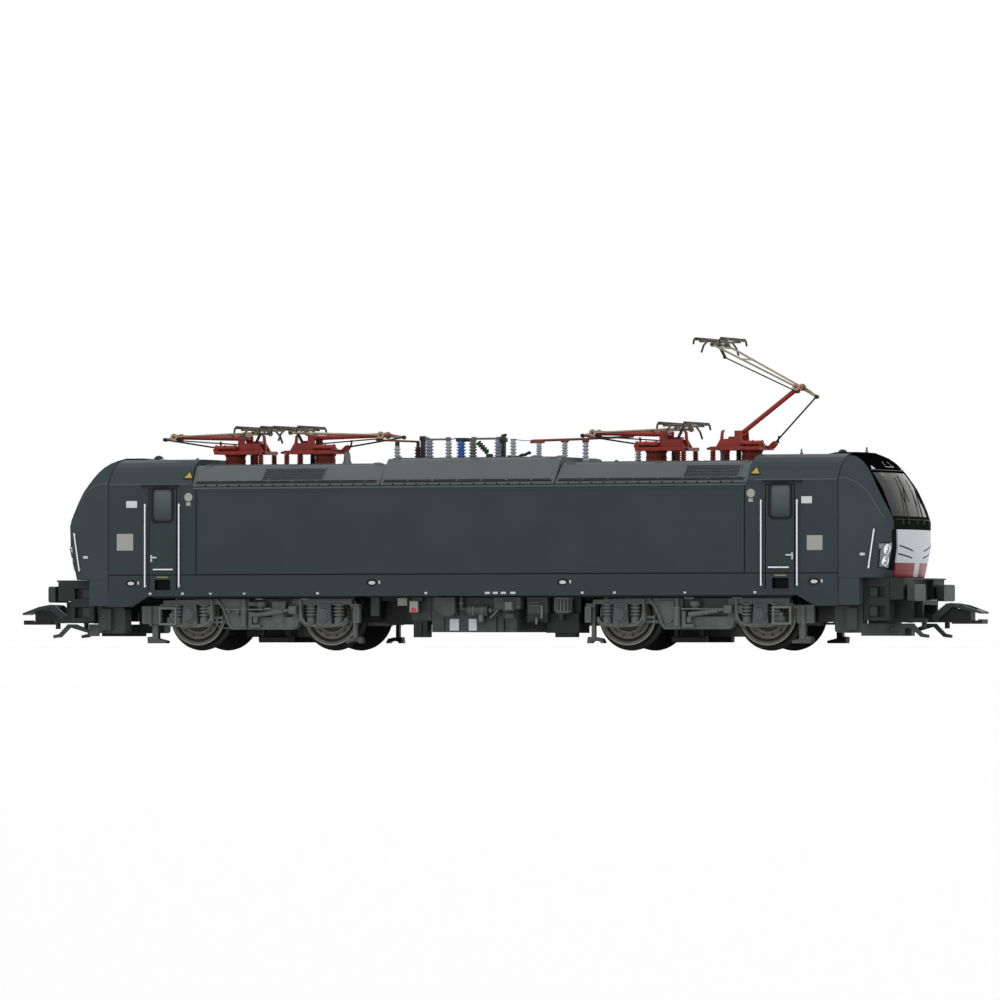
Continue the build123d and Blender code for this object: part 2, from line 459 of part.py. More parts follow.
def bogie_side():
    """Near side of a bogie about its pivot; the far side is the same turned half round."""
    out = []
    # top beams over the axleboxes and the low middle frame with its swept web
    web = [(-24.2, 9.6), (-24.2, 10.6), (-10.6, 10.9), (-2.0, 10.9), (-2.0, 6.65), (9.3, 6.65), (9.3, 10.9), (24.2, 10.9), (24.2, 9.6), (10.6, 9.6),
           (10.9, 6.4), (10.7, 4.7), (9.6, 3.75), (-6.4, 3.75), (-7.4, 5.0), (-7.9, 6.65), (-8.8, 8.7), (-10.0, 9.6)]
    out.append(xz(zf(web), -14.4, -12.6))
    # raised rim along the sweep and the bottom
    rim = [(-10.4, 10.7), (-9.9, 10.9), (-8.3, 8.8), (-7.4, 6.7), (-6.9, 5.2), (-6.1, 4.25), (9.3, 4.25), (10.2, 5.0), (10.4, 6.5), (10.9, 6.4), (10.7, 4.7), (9.6, 3.75),
           (-6.4, 3.75), (-7.4, 5.0), (-7.9, 6.65), (-8.8, 8.7)]
    out.append(xz(zf(rim), -14.8, -12.7))
    # inner plate behind the low beam and the recess above it
    out.append(bx(-9.0, 9.6, -12.9, -11.4, 6.2, 12.1))
    # upright damper, shelf, spring seat, yaw damper with its two brackets
    out.append(cyl((-3.1, -15.0, 4.4 + FLANGE), (-3.1, -15.0, 9.0 + FLANGE), 0.75))
    out.append(cyl((-3.1, -15.0, 8.6 + FLANGE), (-3.1, -15.0, 10.9 + FLANGE), 0.5))
    out.append(bx(-3.9, -2.3, -15.2, -14.2, 3.75 + FLANGE, 4.8 + FLANGE))
    out.append(bx(-1.9, 8.2, -15.3, -12.8, 8.25 + FLANGE, 8.6 + FLANGE))
    out.append(cyl((1.0, -13.9, 8.5 + FLANGE), (1.0, -13.9, 9.2 + FLANGE), 0.9))
    out.append(cyl((1.0, -13.9, 9.1 + FLANGE), (1.0, -13.9, 10.2 + FLANGE), 1.25))
    out.append(cyl((-0.1, -15.2, 7.1 + FLANGE), (6.9, -15.2, 8.0 + FLANGE), 0.55))
    out.append(cyl((6.7, -15.2, 8.0 + FLANGE), (9.2, -15.2, 8.3 + FLANGE), 0.3))
    out.append(bx(8.7, 10.5, -15.8, -14.2, 7.4 + FLANGE, 9.2 + FLANGE))
    out.append(bx(-1.7, -0.9, -15.4, -14.2, 4.2 + FLANGE, 7.9 + FLANGE))
    out.append(bx(-1.7, 1.2, -15.4, -14.2, 4.2 + FLANGE, 4.9 + FLANGE))
    out.append(bx(-0.5, 0.5, -15.5, -14.2, 5.3 + FLANGE, 6.6 + FLANGE))
    for ax in (-hb, hb):
        # axlebox with its cap and wings, coil springs on the wings
        out.append(xz(zf([(ax - 1.9, 5.2), (ax - 1.2, 4.6), (ax + 1.2, 4.6), (ax + 1.9, 5.2), (ax + 1.6, 9.8), (ax - 1.6, 9.8)]), -14.7, -12.5))
        out.append(cyl((ax, -14.6, WHEEL_Z), (ax, -15.3, WHEEL_Z), 1.6))
        out.append(cyl((ax, -15.2, WHEEL_Z), (ax, -15.7, WHEEL_Z), 1.25))
        out.append(xz(zf([(ax - 5.9, 5.4), (ax - 5.0, 4.5), (ax - 1.0, 4.2), (ax + 1.0, 4.2), (ax + 5.0, 4.5), (ax + 5.9, 5.4), (ax + 5.9, 6.6), (ax + 5.4, 6.6), (ax + 4.8, 5.3),
                           (ax + 2.0, 5.1), (ax - 2.0, 5.1), (ax - 4.8, 5.3), (ax - 5.4, 6.6), (ax - 5.9, 6.6)]), -14.5, -12.7))
        for dx in (-3.5, 3.5):
            out.append(cyl((ax + dx, -13.7, 5.0 + FLANGE), (ax + dx, -13.7, 9.7 + FLANGE), 0.85))
            for n in range(4):
                z0 = 6.95 + n * 0.78
                out.append(cyl((ax + dx, -13.7, z0 + FLANGE), (ax + dx, -13.7, z0 + 0.42 + FLANGE), 1.25))
            out.append(cyl((ax + dx, -13.7, 5.1 + FLANGE), (ax + dx, -13.7, 6.6 + FLANGE), 1.15))
        # upright guide rod beside each axlebox, towards the middle of the bogie
        s_ = 1 if ax < 0 else -1
        out.append(bx(ax + s_ * 5.5, ax + s_ * 6.2, -14.9, -12.7, 5.6 + FLANGE, 10.6 + FLANGE))
        out.append(cyl((ax + s_ * 5.9, -13.9, 6.5 + FLANGE), (ax + s_ * 8.4, -13.9, 6.5 + FLANGE), 0.35))
        out.append(cyl((ax + s_ * 5.9, -13.9, 5.5 + FLANGE), (ax + s_ * 9.2, -13.9, 5.5 + FLANGE), 0.3))
    return fuse(out)


def bogie():
    side = bogie_side()
    out = side + Rot(0, 0, 180) * side
    # cross members, clear of the wheels and axles, and the pivot boss
    out = out + bx(-6.8, 6.8, -12.0, 12.0, 7.6, 12.1)
    out = out + cyl((0, 0, 12.0), (0, 0, 15.9), 4.5)
    out = out + bx(-6.6, 6.6, -5.4, 5.4, 3.2, 7.8)
    # gear casings between the wheels, open round the axles
    core = bx(-25.0, 25.0, -6.5, 6.5, 4.6 + FLANGE, 12.0)
    for ax in (-hb, hb):
        core = core - cyl((ax, -6.6, WHEEL_Z), (ax, 6.6, WHEEL_Z), 3.35)
    out = out + core
    for sy in (-1, 1):
        # outer end: open square bracket, foot plate with post and rail guard
        fr = bx(20.4, 25.0, sy * 14.2, sy * 15.2, 4.8 + FLANGE, 9.0 + FLANGE) - bx(20.9, 24.5, sy * 14.0, sy * 15.4, 5.3 + FLANGE, 8.5 + FLANGE)
        out = out + fr + bx(21.2, 22.6, sy * 13.0, sy * 14.4, 5.0 + FLANGE, 7.6 + FLANGE) + bx(20.4, 25.0, sy * 12.6, sy * 14.4, 8.6 + FLANGE, 9.7 + FLANGE)
        out = out + bx(24.4, 30.0, sy * 13.0, sy * 13.9, 8.4 + FLANGE, 9.3 + FLANGE) + bx(25.8, 30.0, sy * 12.9, sy * 13.8, 5.1 + FLANGE, 9.0 + FLANGE)
        out = out + bx(27.3, 27.9, sy * 13.6, sy * 14.4, 4.6 + FLANGE, 9.1 + FLANGE)
        out = out + bx(26.2, 27.6, sy * 11.6, sy * 13.2, 1.4 + FLANGE, 9.0 + FLANGE)
        out = out + xz(zf([(24.4, 0.5), (28.9, 0.5), (29.0, 2.0), (28.0, 2.1), (26.4, 1.6), (24.3, 1.1)]), min(sy * 10.4, sy * 13.0), max(sy * 10.4, sy * 13.0))
        # inner end: beam end, small box, post and foot
        out = out + bx(-26.0, -23.8, sy * 12.8, sy * 14.2, 8.9 + FLANGE, 9.7 + FLANGE)
        out = out + bx(-26.2, -24.7, sy * 13.2, sy * 14.4, 5.3 + FLANGE, 9.0 + FLANGE)
        out = out + bx(-25.0, -24.1, sy * 12.3, sy * 13.3, 1.6 + FLANGE, 9.1 + FLANGE)
        out = out + xz(zf([(-26.3, 0.5), (-25.4, 0.5), (-25.0, 0.95), (-24.0, 1.1), (-23.2, 0.9), (-22.6, 0.5), (-22.0, 0.6), (-22.6, 1.6), (-24.0, 1.9), (-26.1, 2.0)]), min(sy * 11.0, sy * 12.9), max(sy * 11.0, sy * 12.9))
        # box over the rail between the wheels
        out = out + rbx(-6.6, 1.8, sy * 7.6, sy * 9.4, 0.7 + FLANGE, 2.2 + FLANGE, 0.5, "x")
        for ux in (-5.6, 0.8):
            out = out + bx(ux - 0.4, ux + 0.4, sy * 7.8, sy * 9.2, 2.1 + FLANGE, 7.8)
    out = out + bx(26.6, 27.6, -13.0, 13.0, 8.9, 10.3)
    for ax in (-hb, hb):
        out = out - cyl((ax, -14.3, WHEEL_Z), (ax, 14.3, WHEEL_Z), AXLE_R + 0.09)
    return out


bg = bogie()
add("bogie_frame_front", Pos(PIVOT_X, 0, 0) * bg)
rear = Rot(0, 0, 180) * bg
add("bogie_frame_rear", Pos(-PIVOT_X, 0, 0) * rear)

# ---------------------------------------------------------------- couplers (loop and hook, at both ends)
BAIL_X, BAIL_Z = 110.0, 6.35 + FLANGE


def coupler():
    c = bx(CP_X - 1.3, 112.0, -1.8, 1.8, 5.6 + FLANGE, 7.2 + FLANGE)
    c = c + cyl((CP_X, 0, 5.6 + FLANGE), (CP_X, 0, 8.6 + FLANGE), 1.6)
    c = c + xz(zf([(111.6, 5.3), (118.3, 5.3), (118.3, 8.1), (116.8, 8.5), (112.6, 8.3), (111.6, 7.2)]), -1.7, 1.7)
    c = c + bx(113.8, 121.2, -2.0, 2.0, 4.95 + FLANGE, 5.75 + FLANGE)
    c = c + bx(120.2, 121.2, -2.0, 2.0, 5.7 + FLANGE, 6.0 + FLANGE)
    c = c - cyl((CP_X, 0, 5.0), (CP_X, 0, 10.5), 0.78)
    c = c - cyl((BAIL_X, -3, BAIL_Z), (BAIL_X, 3, BAIL_Z), 0.42)
    return c


def bail():
    b = cyl((BAIL_X, -3.0, BAIL_Z), (BAIL_X, 3.0, BAIL_Z), 0.34)
    for sy in (-1, 1):
        b = b + xz(zf([(109.4, 5.75), (110.5, 5.65), (111.0, 6.2), (114.1, 8.75), (113.8, 9.6), (112.6, 9.5), (109.3, 6.9)]), min(sy * 2.2, sy * 2.75), max(sy * 2.2, sy * 2.75))
        b = b + cyl((BAIL_X, sy * 2.7, BAIL_Z), (BAIL_X, sy * 3.2, BAIL_Z), 0.62)
    b = b + xz(zf([(112.7, 9.1), (113.7, 9.0), (121.1, 7.25), (121.2, 7.7), (116.8, 9.25), (113.9, 9.75), (112.6, 9.6)]), -2.75, 2.75)
    b = b - bx(114.6, 119.6, -1.9, 1.9, 7.0 + FLANGE, 10.2 + FLANGE)
    return b


add("coupler_front", coupler())
add("coupler_rear", mir_x(coupler()))
add("coupler_bail_front", bail())
add("coupler_bail_rear", mir_x(bail()))

# ---------------------------------------------------------------- pantographs
# local frame: u along the direction in which the knee points, origin at the lower hinge; w is the height above the rail
PANS = {  # number: hinge x, knee direction, raised
    1: (-63.9, -1, False),
    2: (-46.0, 1, False),
    3: (43.2, -1, False),
    4: (61.7, 1, True),
}
H0 = (0.0, 49.0)
K_UP = (14.24, 59.64)
S_UP = (-5.3, 69.6)
T_UP = (17.8, 57.4)
R0 = (7.6, 46.8)
G_OFF = (-0.1, -1.1)     # lower eye of the guide rod from the knee, arm raised
L_OFF = (1.6, -2.9)      # upper eye of the guide rod from the head shaft
DA, DB = -35.155, 25.18  # turn of the lower arm and of the upper arm from raised to folded


def rot2(v, deg):
    c, s = math.cos(math.radians(deg)), math.sin(math.radians(deg))
    return (v[0] * c - v[1] * s, v[0] * s + v[1] * c)


def p2(a, b):
    return (a[0] + b[0], a[1] + b[1])


def m2(a, b):
    return (a[0] - b[0], a[1] - b[1])


def linkage(t):
    """Joint centres for t = 0 raised to t = 1 folded."""
    k = p2(H0, rot2(m2(K_UP, H0), DA * t))
    s = p2(k, rot2(m2(S_UP, K_UP), DB * t))
    tt = p2(k, rot2(m2(T_UP, K_UP), DB * t))
    g = p2(k, rot2(G_OFF, DA * t))
    el = p2(s, L_OFF)
    return k, s, tt, g, el


def bar(a, b, y0, y1, r):
    return cyl((a[0], y0, a[1]), (b[0], y1, b[1]), r)


def pan(t):
    k, s, tt, g, el = linkage(t)
    out = {}
    # base frame
    b = None
    for sy in (-1, 1):
        beam = bx(-6.0, 6.0, sy * 4.0, sy * 4.8, 45.2, 46.0)
        side = xz([(-5.6, 45.6), (-4.3, 47.8), (-0.8, 47.8), (-0.8, 49.7), (0.8, 49.7), (1.0, 46.9), (5.4, 46.3), (6.0, 45.6)], sy * 2.1, sy * 2.6)
        b = beam + side if b is None else b + beam + side
    for x0, x1 in ((-6.2, -5.2), (-0.5, 0.5), (5.2, 6.2)):
        b = b + bx(x0, x1, -4.8, 4.8, 45.2, 45.9)
    b = b + xz([(-5.4, 45.8), (-4.7, 45.8), (-4.5, 49.3), (-4.2, 49.8), (-4.5, 50.0), (-5.0, 49.5)], -0.35, 0.35)
    b = b + bx(-3.4, -1.0, 0.3, 2.2, 45.8, 48.4)
    for y0, y1 in ((1.05, 1.4), (2.0, 2.35)):
        b = b + xz([(5.4, 45.3), (7.4, 45.6), (8.15, 46.5), (8.0, 47.2), (7.3, 47.2), (6.2, 46.2), (5.4, 46.0)], y0, y1)
    b = b - cyl((H0[0], 0, H0[1]), (H0[0], 3, H0[1]), 0.42)
    b = b + cyl((R0[0], 1.05, R0[1]), (R0[0], 2.35, R0[1]), 0.2)
    out["pantograph_base"] = b
    # lower arm
    # the shaft is carried on the far side only: the guide rod swings past it on the near side
    a = cyl((H0[0], -0.85, H0[1]), (H0[0], 2.8, H0[1]), 0.36) + cyl((H0[0], -0.85, H0[1]), (H0[0], 1.95, H0[1]), 0.62)
    d = m2(k, H0)
    a = a + bar(H0, p2(H0, (d[0] * 0.97, d[1] * 0.97)), 0, 0, 0.56)
    a = a + cyl((k[0], -0.93, k[1]), (k[0], 1.7, k[1]), 0.62) + cyl((k[0], -2.5, k[1]), (k[0], 2.5, k[1]), 0.3)
    a = a + xz([p2(k, rot2(q, DA * t)) for q in ((-0.9, 0.0), (0.5, 0.0), (0.35, -1.4), (-0.55, -1.4))], -0.85, -0.35)
    a = a + cyl((g[0], -1.5, g[1]), (g[0], -0.4, g[1]), 0.18)
    out["lower_arm"] = a
    # upper arm: two tubes spreading towards the head, eyes at both ends, tail to the thrust rod
    ua = None
    up = m2(s, k)
    ln = math.hypot(*up)
    e = (up[0] / ln, up[1] / ln)
    for sy in (-1, 1):
        p0 = p2(k, (e[0] * 0.7, e[1] * 0.7))
        p1 = p2(s, (-e[0] * 0.5, -e[1] * 0.5))
        tube = bar(p0, p1, sy * 2.12, sy * 4.95, 0.24)
        eye = ring((k[0], sy * 1.85, k[1]), (k[0], sy * 2.35, k[1]), 0.85, 0.36)
        tip = ring((s[0], sy * 4.75, s[1]), (s[0], sy * 5.15, s[1]), 0.6, 0.34)
        part = tube + eye + tip
        ua = part if ua is None else ua + part
    for f in (0.66, 0.93):
        c = p2(k, (up[0] * f, up[1] * f))
        yy = 2.12 + (4.95 - 2.12) * f
        ua = ua + cyl((c[0], -yy, c[1]), (c[0], yy, c[1]), 0.2)
    tail = m2(tt, k)
    tl = math.hypot(*tail)
    tn = (tail[0] / tl, tail[1] / tl)
    nn = (-tn[1], tn[0])
    q = [p2(p2(k, (tn[0] * 0.6, tn[1] * 0.6)), (nn[0] * 0.45, nn[1] * 0.45)), p2(tt, (nn[0] * 0.3, nn[1] * 0.3)),
         p2(tt, (-nn[0] * 0.3, -nn[1] * 0.3)), p2(p2(k, (tn[0] * 0.6, tn[1] * 0.6)), (-nn[0] * 0.45, -nn[1] * 0.45))]
    ua = ua + xz(q, 2.0, 2.35) + cyl((tt[0], 2.0, tt[1]), (tt[0], 2.5, tt[1]), 0.5)
    out["upper_arm"] = ua
    # thrust rod, beside the tail of the upper arm
    td = m2(tt, R0)
    tl = math.hypot(*td)
    te = (td[0] / tl, td[1] / tl)
    rod = bar(p2(R0, (te[0] * 0.35, te[1] * 0.35)), p2(tt, (-te[0] * 0.2, -te[1] * 0.2)), 1.7, 1.7, 0.2)
    rod = rod + ring((R0[0], 1.48, R0[1]), (R0[0], 1.92, R0[1]), 0.5, 0.26) + cyl((tt[0], 1.5, tt[1]), (tt[0], 1.9, tt[1]), 0.42)
    out["thrust_rod"] = rod
    # guide rod
    gd = m2(el, g)
    gl = math.hypot(*gd)
    ge = (gd[0] / gl, gd[1] / gl)
    gr = bar(p2(g, (ge[0] * 0.3, ge[1] * 0.3)), el, -1.2, -1.2, 0.16)
    gr = gr + ring((g[0], -1.4, g[1]), (g[0], -1.0, g[1]), 0.42, 0.24) + cyl((el[0], -1.4, el[1]), (el[0], -1.05, el[1]), 0.36)
    out["guide_rod"] = gr
    # head: shaft, frame, two contact strips with bent ends, two long horns, lever for the guide rod
    hd = cyl((s[0], -5.5, s[1]), (s[0], 5.5, s[1]), 0.28)
    for sy in (-1, 1):
        hd = hd + bx(s[0] - 3.52, s[0] + 3.52, sy * 3.9, sy * 4.4, s[1] + 0.5, s[1] + 0.95) + bx(s[0] - 0.5, s[0] + 0.5, sy * 3.9, sy * 4.4, s[1] - 0.3, s[1] + 0.6)
        pth = [(s[0], sy * 4.0, s[1] + 0.88), (s[0], sy * 8.0, s[1] + 0.75), (s[0], sy * 10.6, s[1] - 0.4), (s[0], sy * 12.0, s[1] - 2.0)]
        for a0, b0 in zip(pth, pth[1:]):
            hd = hd + cyl(a0, b0, 0.24)
        for j in pth[1:-1]:
            hd = hd + Pos(*j) * Sphere(0.24)
        for dx in (-3.2, 3.2):
            hk = [(s[0] + dx, sy * 7.4, s[1] + 1.25), (s[0] + dx, sy * 8.5, s[1] + 1.0), (s[0] + dx, sy * 8.9, s[1] + 0.0)]
            for a0, b0 in zip(hk, hk[1:]):
                hd = hd + cyl(a0, b0, 0.24)
            hd = hd + Pos(*hk[1]) * Sphere(0.24)
    for dx in (-3.2, 3.2):
        hd = hd + bx(s[0] + dx - 0.35, s[0] + dx + 0.35, -7.6, 7.6, s[1] + 0.9, s[1] + 1.6)
    hd = hd + xz([(s[0] - 0.35, s[1]), (s[0] + 0.35, s[1]), (el[0] + 0.3, el[1]), (el[0] - 0.3, el[1] - 0.2)], -0.95, -0.6)
    out["pan_head"] = hd
    return out


for num, (hx, sgn, raised) in PANS.items():
    for nm, s in pan(0.0 if raised else 1.0).items():
        s = Pos(0, 0, FLANGE) * s
        if sgn < 0:
            s = mir_x(s)
        add(f"{nm}_{num}", Pos(hx, 0, 0) * s)

# ---------------------------------------------------------------- roof equipment
for num, (hx, sgn, raised) in PANS.items():
    top = 42.5 + FLANGE
    if True:
        # (u, y, radius, material group) posts that carry the base
        add("roof_insulators", cyl((hx + sgn * 2.6, 0, top + 0.03), (hx + sgn * 2.6, 0, 45.2 + FLANGE - 0.03), 2.3))
        for u in (-5.6,):
            for y in (-3.9, 3.9):
                add("roof_insulators", cyl((hx + sgn * u, y, top + 0.03), (hx + sgn * u, y, 45.2 + FLANGE - 0.03), 0.5))
        for u in (-3.6, -1.6):
            add("roof_switchgear", cyl((hx + sgn * u, 0, top + 0.03), (hx + sgn * u, 0, 45.2 + FLANGE - 0.03), 0.8))

top = 43.75 + FLANGE
POSTS = [(-18.5, 0, 0.35, 47.2), (-16.5, 0, 0.8, 47.6), (-11.7, 0, 0.8, 47.6), (-8.55, 0, 1.0, 47.4), (-6.0, 0, 0.8, 47.4), (0.7, 0, 0.8, 47.6), (4.7, 0, 0.7, 46.8),
         (11.1, 0, 0.7, 47.4), (17.6, 0, 0.7, 47.4)]
for x, y, r, z in POSTS:
    add("roof_insulators", cyl((x, y, top + 0.03), (x, y, z + FLANGE), r))
add("roof_busbars", cyl((9.3, 0, 48.0 + FLANGE), (21.6, 0, 48.0 + FLANGE), 0.5))
add("roof_busbars", bx(-17.4, -13.1, -0.5, 0.5, 48.0 + FLANGE, 48.8 + FLANGE))
for sx in (-1, 1):
    add("roof_fittings", cyl((sx * 86.6, 0, 44.42 + FLANGE), (sx * 86.6, 0, 45.25 + FLANGE), 1.1))
    add("roof_fittings", cyl((sx * 76.5, 0, 44.02 + FLANGE), (sx * 76.5, 0, 45.5 + FLANGE), 0.3))

# ---------------------------------------------------------------- write one file per node
os.makedirs(PARTS, exist_ok=True)
for f in os.listdir(PARTS):
    if f.endswith(".step"):
        os.remove(os.path.join(PARTS, f))
for name, shapes in nodes.items():
    solids = []
    for s in shapes:
        solids += s.solids()
    comp = Compound(children=[Solid(s.wrapped) if not isinstance(s, Solid) else s for s in solids]) if len(solids) > 1 else solids[0]
    comp.label = name
    export_step(comp, os.path.join(PARTS, name + ".step"))
    print(name, len(solids), round(sum(s.volume for s in solids), 2))
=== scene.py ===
import math

import bmesh
import bpy
from mathutils import Matrix, Vector
from mathutils.bvhtree import BVHTree


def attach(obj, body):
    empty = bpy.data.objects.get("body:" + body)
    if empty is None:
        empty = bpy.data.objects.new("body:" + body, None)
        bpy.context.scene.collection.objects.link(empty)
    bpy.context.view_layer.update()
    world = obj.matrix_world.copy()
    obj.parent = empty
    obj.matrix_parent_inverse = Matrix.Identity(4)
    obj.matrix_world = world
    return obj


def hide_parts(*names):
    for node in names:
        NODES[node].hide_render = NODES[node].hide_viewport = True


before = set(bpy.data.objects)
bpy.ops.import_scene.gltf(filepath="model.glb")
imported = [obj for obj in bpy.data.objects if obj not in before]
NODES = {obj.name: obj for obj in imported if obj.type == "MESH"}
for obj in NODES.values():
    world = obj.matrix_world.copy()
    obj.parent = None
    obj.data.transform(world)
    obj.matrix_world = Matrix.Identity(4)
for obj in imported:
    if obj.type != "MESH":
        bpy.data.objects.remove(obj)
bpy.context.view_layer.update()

FL = 1.2            # rail top above the lowest point of the flanges, mm
MM = 0.001

# ================================================================ materials
class Net:
    """Small helper for node trees: every call returns an output socket."""

    def __init__(self, name):
        self.mat = bpy.data.materials.new(name)
        self.mat.use_nodes = True
        self.t = self.mat.node_tree
        self.bsdf = next(n for n in self.t.nodes if n.type == "BSDF_PRINCIPLED")
        self.tc = self.t.nodes.new("ShaderNodeTexCoord")
        self.obj = self.tc.outputs["Object"]

    def link(self, a, b):
        self.t.links.new(a, b)

    def put(self, sock, v):
        if isinstance(v, bpy.types.NodeSocket):
            self.link(v, sock)
        elif isinstance(v, (tuple, list)) and len(v) == 3 and sock.type == "RGBA":
            sock.default_value = (*v, 1.0)
        else:
            sock.default_value = v

    def math(self, op, a, b=None, clamp=False):
        n = self.t.nodes.new("ShaderNodeMath")
        n.operation = op
        n.use_clamp = clamp
        self.put(n.inputs[0], a)
        if b is not None:
            self.put(n.inputs[1], b)
        return n.outputs[0]

    def xyz(self, shift=None):
        src = self.obj
        if shift is not None:
            v = self.t.nodes.new("ShaderNodeVectorMath")
            v.operation = "SUBTRACT"
            self.link(src, v.inputs[0])
            v.inputs[1].default_value = shift
            src = v.outputs[0]
        s = self.t.nodes.new("ShaderNodeSeparateXYZ")
        self.link(src, s.inputs[0])
        return s.outputs[0], s.outputs[1], s.outputs[2]

    def noise(self, scale, detail=3.0, rough=0.55, stretch=None):
        n = self.t.nodes.new("ShaderNodeTexNoise")
        n.inputs["Scale"].default_value = scale
        n.inputs["Detail"].default_value = detail
        n.inputs["Roughness"].default_value = rough
        if stretch:
            m = self.t.nodes.new("ShaderNodeMapping")
            m.inputs["Scale"].default_value = stretch
            self.link(self.obj, m.inputs["Vector"])
            self.link(m.outputs[0], n.inputs["Vector"])
        else:
            self.link(self.obj, n.inputs["Vector"])
        return n.outputs["Fac"]

    def rng(self, v, a0, a1, b0, b1):
        n = self.t.nodes.new("ShaderNodeMapRange")
        self.put(n.inputs["Value"], v)
        for k, x in (("From Min", a0), ("From Max", a1), ("To Min", b0), ("To Max", b1)):
            n.inputs[k].default_value = x
        return n.outputs[0]

    def mix(self, fac, a, b):
        n = self.t.nodes.new("ShaderNodeMix")
        n.data_type = "RGBA"
        self.put(n.inputs["Factor"], fac)
        self.put(n.inputs[6], a)
        self.put(n.inputs[7], b)
        return n.outputs[2]

    def within(self, v, lo, hi):
        return self.math("MULTIPLY", self.math("GREATER_THAN", v, lo), self.math("LESS_THAN", v, hi))

    def both(self, *ms):
        out = ms[0]
        for m in ms[1:]:
            out = self.math("MULTIPLY", out, m)
        return out

    def bump(self, height, strength, dist=0.0001, normal=None):
        n = self.t.nodes.new("ShaderNodeBump")
        n.inputs["Strength"].default_value = strength
        n.inputs["Distance"].default_value = dist
        self.link(height, n.inputs["Height"])
        if normal is not None:
            self.link(normal, n.inputs["Normal"])
        return n.outputs[0]


def lin(r, g, b):
    """sRGB 0-255 to linear."""
    f = lambda c: (c / 255 / 12.92) if c <= 10.3 else ((c / 255 + 0.055) / 1.055) ** 2.4
    return (f(r), f(g), f(b))


def shade(c, k):
    return tuple(max(0.0, min(1.0, x * k)) for x in c)


def finish_mat(n, color, rough, metal=0.0, grain=9000.0, grain_amt=0.05, rough_var=0.05, spec=0.22, coat=0.0, dist=0.00003):
    """Common end of every paint: grain bump, cloudy roughness."""
    b = n.bsdf
    n.put(b.inputs["Base Color"], color)
    cloud = n.noise(260.0, 4.0)
    n.put(b.inputs["Roughness"], n.rng(cloud, 0.3, 0.7, max(0.02, rough - rough_var), min(1.0, rough + rough_var)))
    b.inputs["Metallic"].default_value = metal
    b.inputs["Specular IOR Level"].default_value = spec
    if coat:
        b.inputs["Coat Weight"].default_value = coat
        b.inputs["Coat Roughness"].default_value = 0.2
    fine = n.noise(grain, 2.0)
    n.link(n.bump(fine, grain_amt, dist), b.inputs["Normal"])
    return n.mat


def paint(name, col, rough=0.42, metal=0.0, var=0.05, scale=120.0, dust=0.0, **kw):
    """Painted or moulded surface: slow colour drift, fine grain, optional dust in noisy patches."""
    n = Net(name)
    c = n.mix(n.rng(n.noise(scale, 5.0), 0.35, 0.65, 0.0, 1.0), shade(col, 1 - var), shade(col, 1 + var))
    if dust:
        c = n.mix(n.rng(n.noise(700.0, 6.0, 0.7), 0.45, 0.75, 0.0, dust), c, lin(122, 120, 112))
    return finish_mat(n, c, rough, metal, **kw)


SLATE = (0.0300, 0.0390, 0.0430)
# painted highlight: the nose slate is a lighter copy of the body slate
NOSE_SLATE_LIT = (0.0390, 0.0500, 0.0550)
SLATE_DOOR = (0.0290, 0.0380, 0.0410)
MASK = lin(5, 5, 5)
BAND = lin(22, 24, 19)
WHITE = lin(172, 175, 181)
RED = lin(118, 14, 22)


def painted_depth_shade(n, c, ay, y0, y1, low):
    """Painted shade: everything nearer the middle than y0 goes towards black; full colour from y1 outwards (mm)."""
    return n.mix(n.rng(ay, y0 * MM, y1 * MM, 1.0 - low, 0.0), c, lin(6, 7, 7))


def slate_body():
    n = Net("body_slate_paint")
    x, y, z = n.xyz()
    ax, ay = n.math("ABSOLUTE", x), n.math("ABSOLUTE", y)
    c = n.mix(n.rng(n.noise(70.0, 5.0), 0.35, 0.65, 0.0, 1.0), shade(SLATE, 0.965), shade(SLATE, 1.035))
    # doors a touch lighter
    door = n.both(n.within(ax, 74.2 * MM, 81.1 * MM), n.within(z, 14.0 * MM, 38.2 * MM), n.math("GREATER_THAN", ay, 17.15 * MM))
    c = n.mix(door, c, SLATE_DOOR)
    # painted highlight: the sloping roof edges are painted lighter where they catch more light
    slope = n.math("GREATER_THAN", z, (37.95 + FL) * MM)
    c = n.mix(slope, c, (0.034, 0.044, 0.048))
    # painted shade: grooves, and whatever lies a little below the flat side, are painted dark
    groove = n.both(n.within(ay, 16.9 * MM, 17.2 * MM), n.within(z, 13.0 * MM, 38.6 * MM), n.math("LESS_THAN", ax, 91.7 * MM))
    c = n.mix(groove, c, lin(14, 16, 17))
    # recessed steps are black
    step = n.both(n.within(ax, 75.6 * MM, 79.8 * MM), n.within(z, (12.9 + FL) * MM, (15.6 + FL) * MM), n.math("LESS_THAN", ay, 17.22 * MM), n.math("GREATER_THAN", ay, 16.0 * MM))
    c = n.mix(step, c, lin(9, 9, 10))
    # inside of the shell is plain dark
    inside = n.math("LESS_THAN", ay, 16.2 * MM)
    low = n.math("LESS_THAN", z, 38.0 * MM)
    c = n.mix(n.both(inside, low), c, lin(14, 15, 16))
    # black lid over the cab roof, and the narrow black strip behind it
    lid = n.both(n.math("GREATER_THAN", ax, 84.6 * MM), n.math("LESS_THAN", ay, 6.6 * MM), n.math("GREATER_THAN", z, (43.6 + FL) * MM))
    c = n.mix(lid, c, MASK)
    strip_ = n.both(n.math("GREATER_THAN", ax, 69.0 * MM), n.math("LESS_THAN", ay, 5.0 * MM), n.math("GREATER_THAN", z, (43.9 + FL) * MM))
    c = n.mix(strip_, c, lin(20, 22, 22))
    return finish_mat(n, c, 0.40, grain=7000.0, grain_amt=0.10, spec=0.06)


